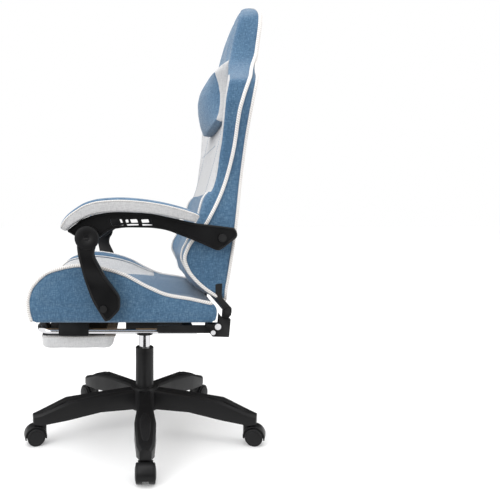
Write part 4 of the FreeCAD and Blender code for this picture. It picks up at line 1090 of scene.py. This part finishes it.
WHEEL = ((.0032, .0070), (.0200, .0070), (.0235, .0074), (.0247, .0084), (.0250, .0100), (.0250, .0205),
         (.0247, .0222), (.0238, .0234), (.0222, .0240), (.0205, .0243), (.0200, .0236), (.0190, .0236),
         (.0186, .0246), (.0150, .0256), (.0090, .0262), (0, .0264), (0, .0256), (.0032, .0256))
for number in range(1, 6):
    turn = math.radians(72 * (number - 1))
    low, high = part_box(f"castor_{number}_axle")
    middle = (low + high) / 2
    axis = Vector((-math.sin(turn), math.cos(turn), 0))
    wheels = [lathe(f"castor_{number}_wheel_{part}", WHEEL, middle, axis * sign, SLOT_MATERIALS["castor_tread"], 48)
              for part, sign in (("a", 1), ("b", -1))]
    stands_for(wheels[0], f"castor_{number}_wheels")
    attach(wheels[1], f"castor_{number}_wheel_pair")

column_low, column_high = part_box("gas_column")
wide, top, foot = column_high.x, column_high.z, column_low.z
sleeve = ((.0045, foot), (wide - .0025, foot), (wide, foot + .002), (wide, top - .016), (wide - .0004, top - .0155),
          (wide - .0004, top - .0145), (wide, top - .014), (wide, top - .002), (wide - .0015, top),
          (wide - .0055, top), (wide - .0058, top - .002), (wide - .0058, foot + .005), (.0045, foot + .005))
stands_for(lathe("lift_sleeve", sleeve, (0, 0, 0), (0, 0, 1), SLOT_MATERIALS["steel_black"], 72), "gas_column")

# raised grips on the outer half of each leg
grip_nylon = moulded("grip_nylon", (0.006, 0.006, 0.0065), 0.55, 420, 0.0007)
LEG_TOP = through((.1416, .127), (.236, .119), (.312, .091), (.334, .086))
GRIP_START, GRIP_END = .196, .303
for number in range(5):
    turn = math.radians(72 * number)
    outwards_along = Vector((math.cos(turn), math.sin(turn), 0))
    sideways = Vector((-math.sin(turn), math.cos(turn), 0))
    rings = []
    for i in range(31):
        t = i / 30
        r = mix(GRIP_START, GRIP_END, t)
        half_width = .0145 * max(math.sin(math.pi * mix(.02, .985, t)), 0) ** .42
        ring = []
        for k in range(16):
            a = 2 * math.pi * k / 16
            lift = .0004 + .0011 * soft(math.sin(a), .6)
            ring.append(outwards_along * r + sideways * half_width * soft(math.cos(a), .7)
                        + Vector((0, 0, LEG_TOP(r) + lift)))
        rings.append(ring)
    grip = loft(f"leg_grip_{number + 1}", rings, [grip_nylon], sharp=50)
    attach(grip, "base")

# ---------------------------------------------------------------- studio
def sheet(name, corners, finish):
    mesh = bpy.data.meshes.new(name)
    mesh.from_pydata(corners, [], [(0, 1, 2, 3)])
    mesh.materials.append(finish)
    return placed(name, mesh)


floor_material, tree, shader = material("floor_paper", (0.9, 0.9, 0.9), 0.9)
fill(shader, {"Roughness": level(tree, noise(tree, 60.0), 0.3, 0.7, 0.85, 0.95), "Emission Color": (1, 1, 1, 1),
              "Emission Strength": 0.12})
floor = sheet("floor", [(-30, -30, 0), (30, -30, 0), (30, 30, 0), (-30, 30, 0)], floor_material)
floor.visible_glossy = False
floor.visible_diffuse = False


def softbox(name, location, target, size, energy):
    light = bpy.data.lights.new(name, "AREA")
    light.shape = "RECTANGLE"
    light.size, light.size_y = size
    light.energy = energy
    obj = placed(name, light)
    obj.location = location
    obj.rotation_euler = (Vector(target) - Vector(location)).to_track_quat("-Z", "Y").to_euler()


def dark_card(name, corners, lights_too):
    """Black cloth that only shows in reflections, unless lights_too lets it shade the object."""
    card = sheet(name, corners, flag_cloth)
    card.visible_camera = False
    card.visible_shadow = False
    card.visible_diffuse = lights_too


flag_cloth = moulded("flag_cloth", (0.02, 0.02, 0.02), 0.9)
dark_card("near_card", [(2.3, -1.0, 0.02), (2.3, 0.9, 0.02), (2.3, 0.9, 0.8), (2.3, -1.0, 0.8)], True)
dark_card("far_card", [(-2.6, -3.0, 0.02), (-2.6, 3.0, 0.02), (-2.6, 3.0, 2.6), (-2.6, -3.0, 2.6)], False)
# the floor's bounce is replaced by these, so the lower half of the object keeps its depth
dark_card("low_card", [(0.75, -0.60, -0.02), (1.5, -0.75, -0.02), (1.5, 0.65, -0.02), (0.75, 0.50, -0.02)], True)
dark_card("low_strip", [(1.4, -0.42, -0.01), (2.4, -0.6, -0.01), (2.4, 0.42, -0.01), (1.4, 0.26, -0.01)], False)
dark_card("low_far_card", [(-2.6, -2.0, -0.02), (-0.9, -0.8, -0.02), (-0.9, 0.8, -0.02), (-2.6, 2.0, -0.02)], False)
softbox("overhead", (0.4, -0.5, 3.2), (0, 0, 0.5), (3.0, 3.0), 50)
softbox("key", (2.6, -2.4, 2.0), (0, 0, 0.7), (2.0, 2.4), 60)
softbox("rear_rim", (0.8, 3.0, 1.4), (0, 0.2, 0.6), (1.6, 2.4), 30)
world = bpy.data.worlds.new("studio")
world.use_nodes = True
world.node_tree.nodes["Background"].inputs["Color"].default_value = (1, 1, 1, 1)
world.node_tree.nodes["Background"].inputs["Strength"].default_value = 1.0
bpy.context.scene.world = world
bpy.context.scene.view_settings.view_transform = "Standard"
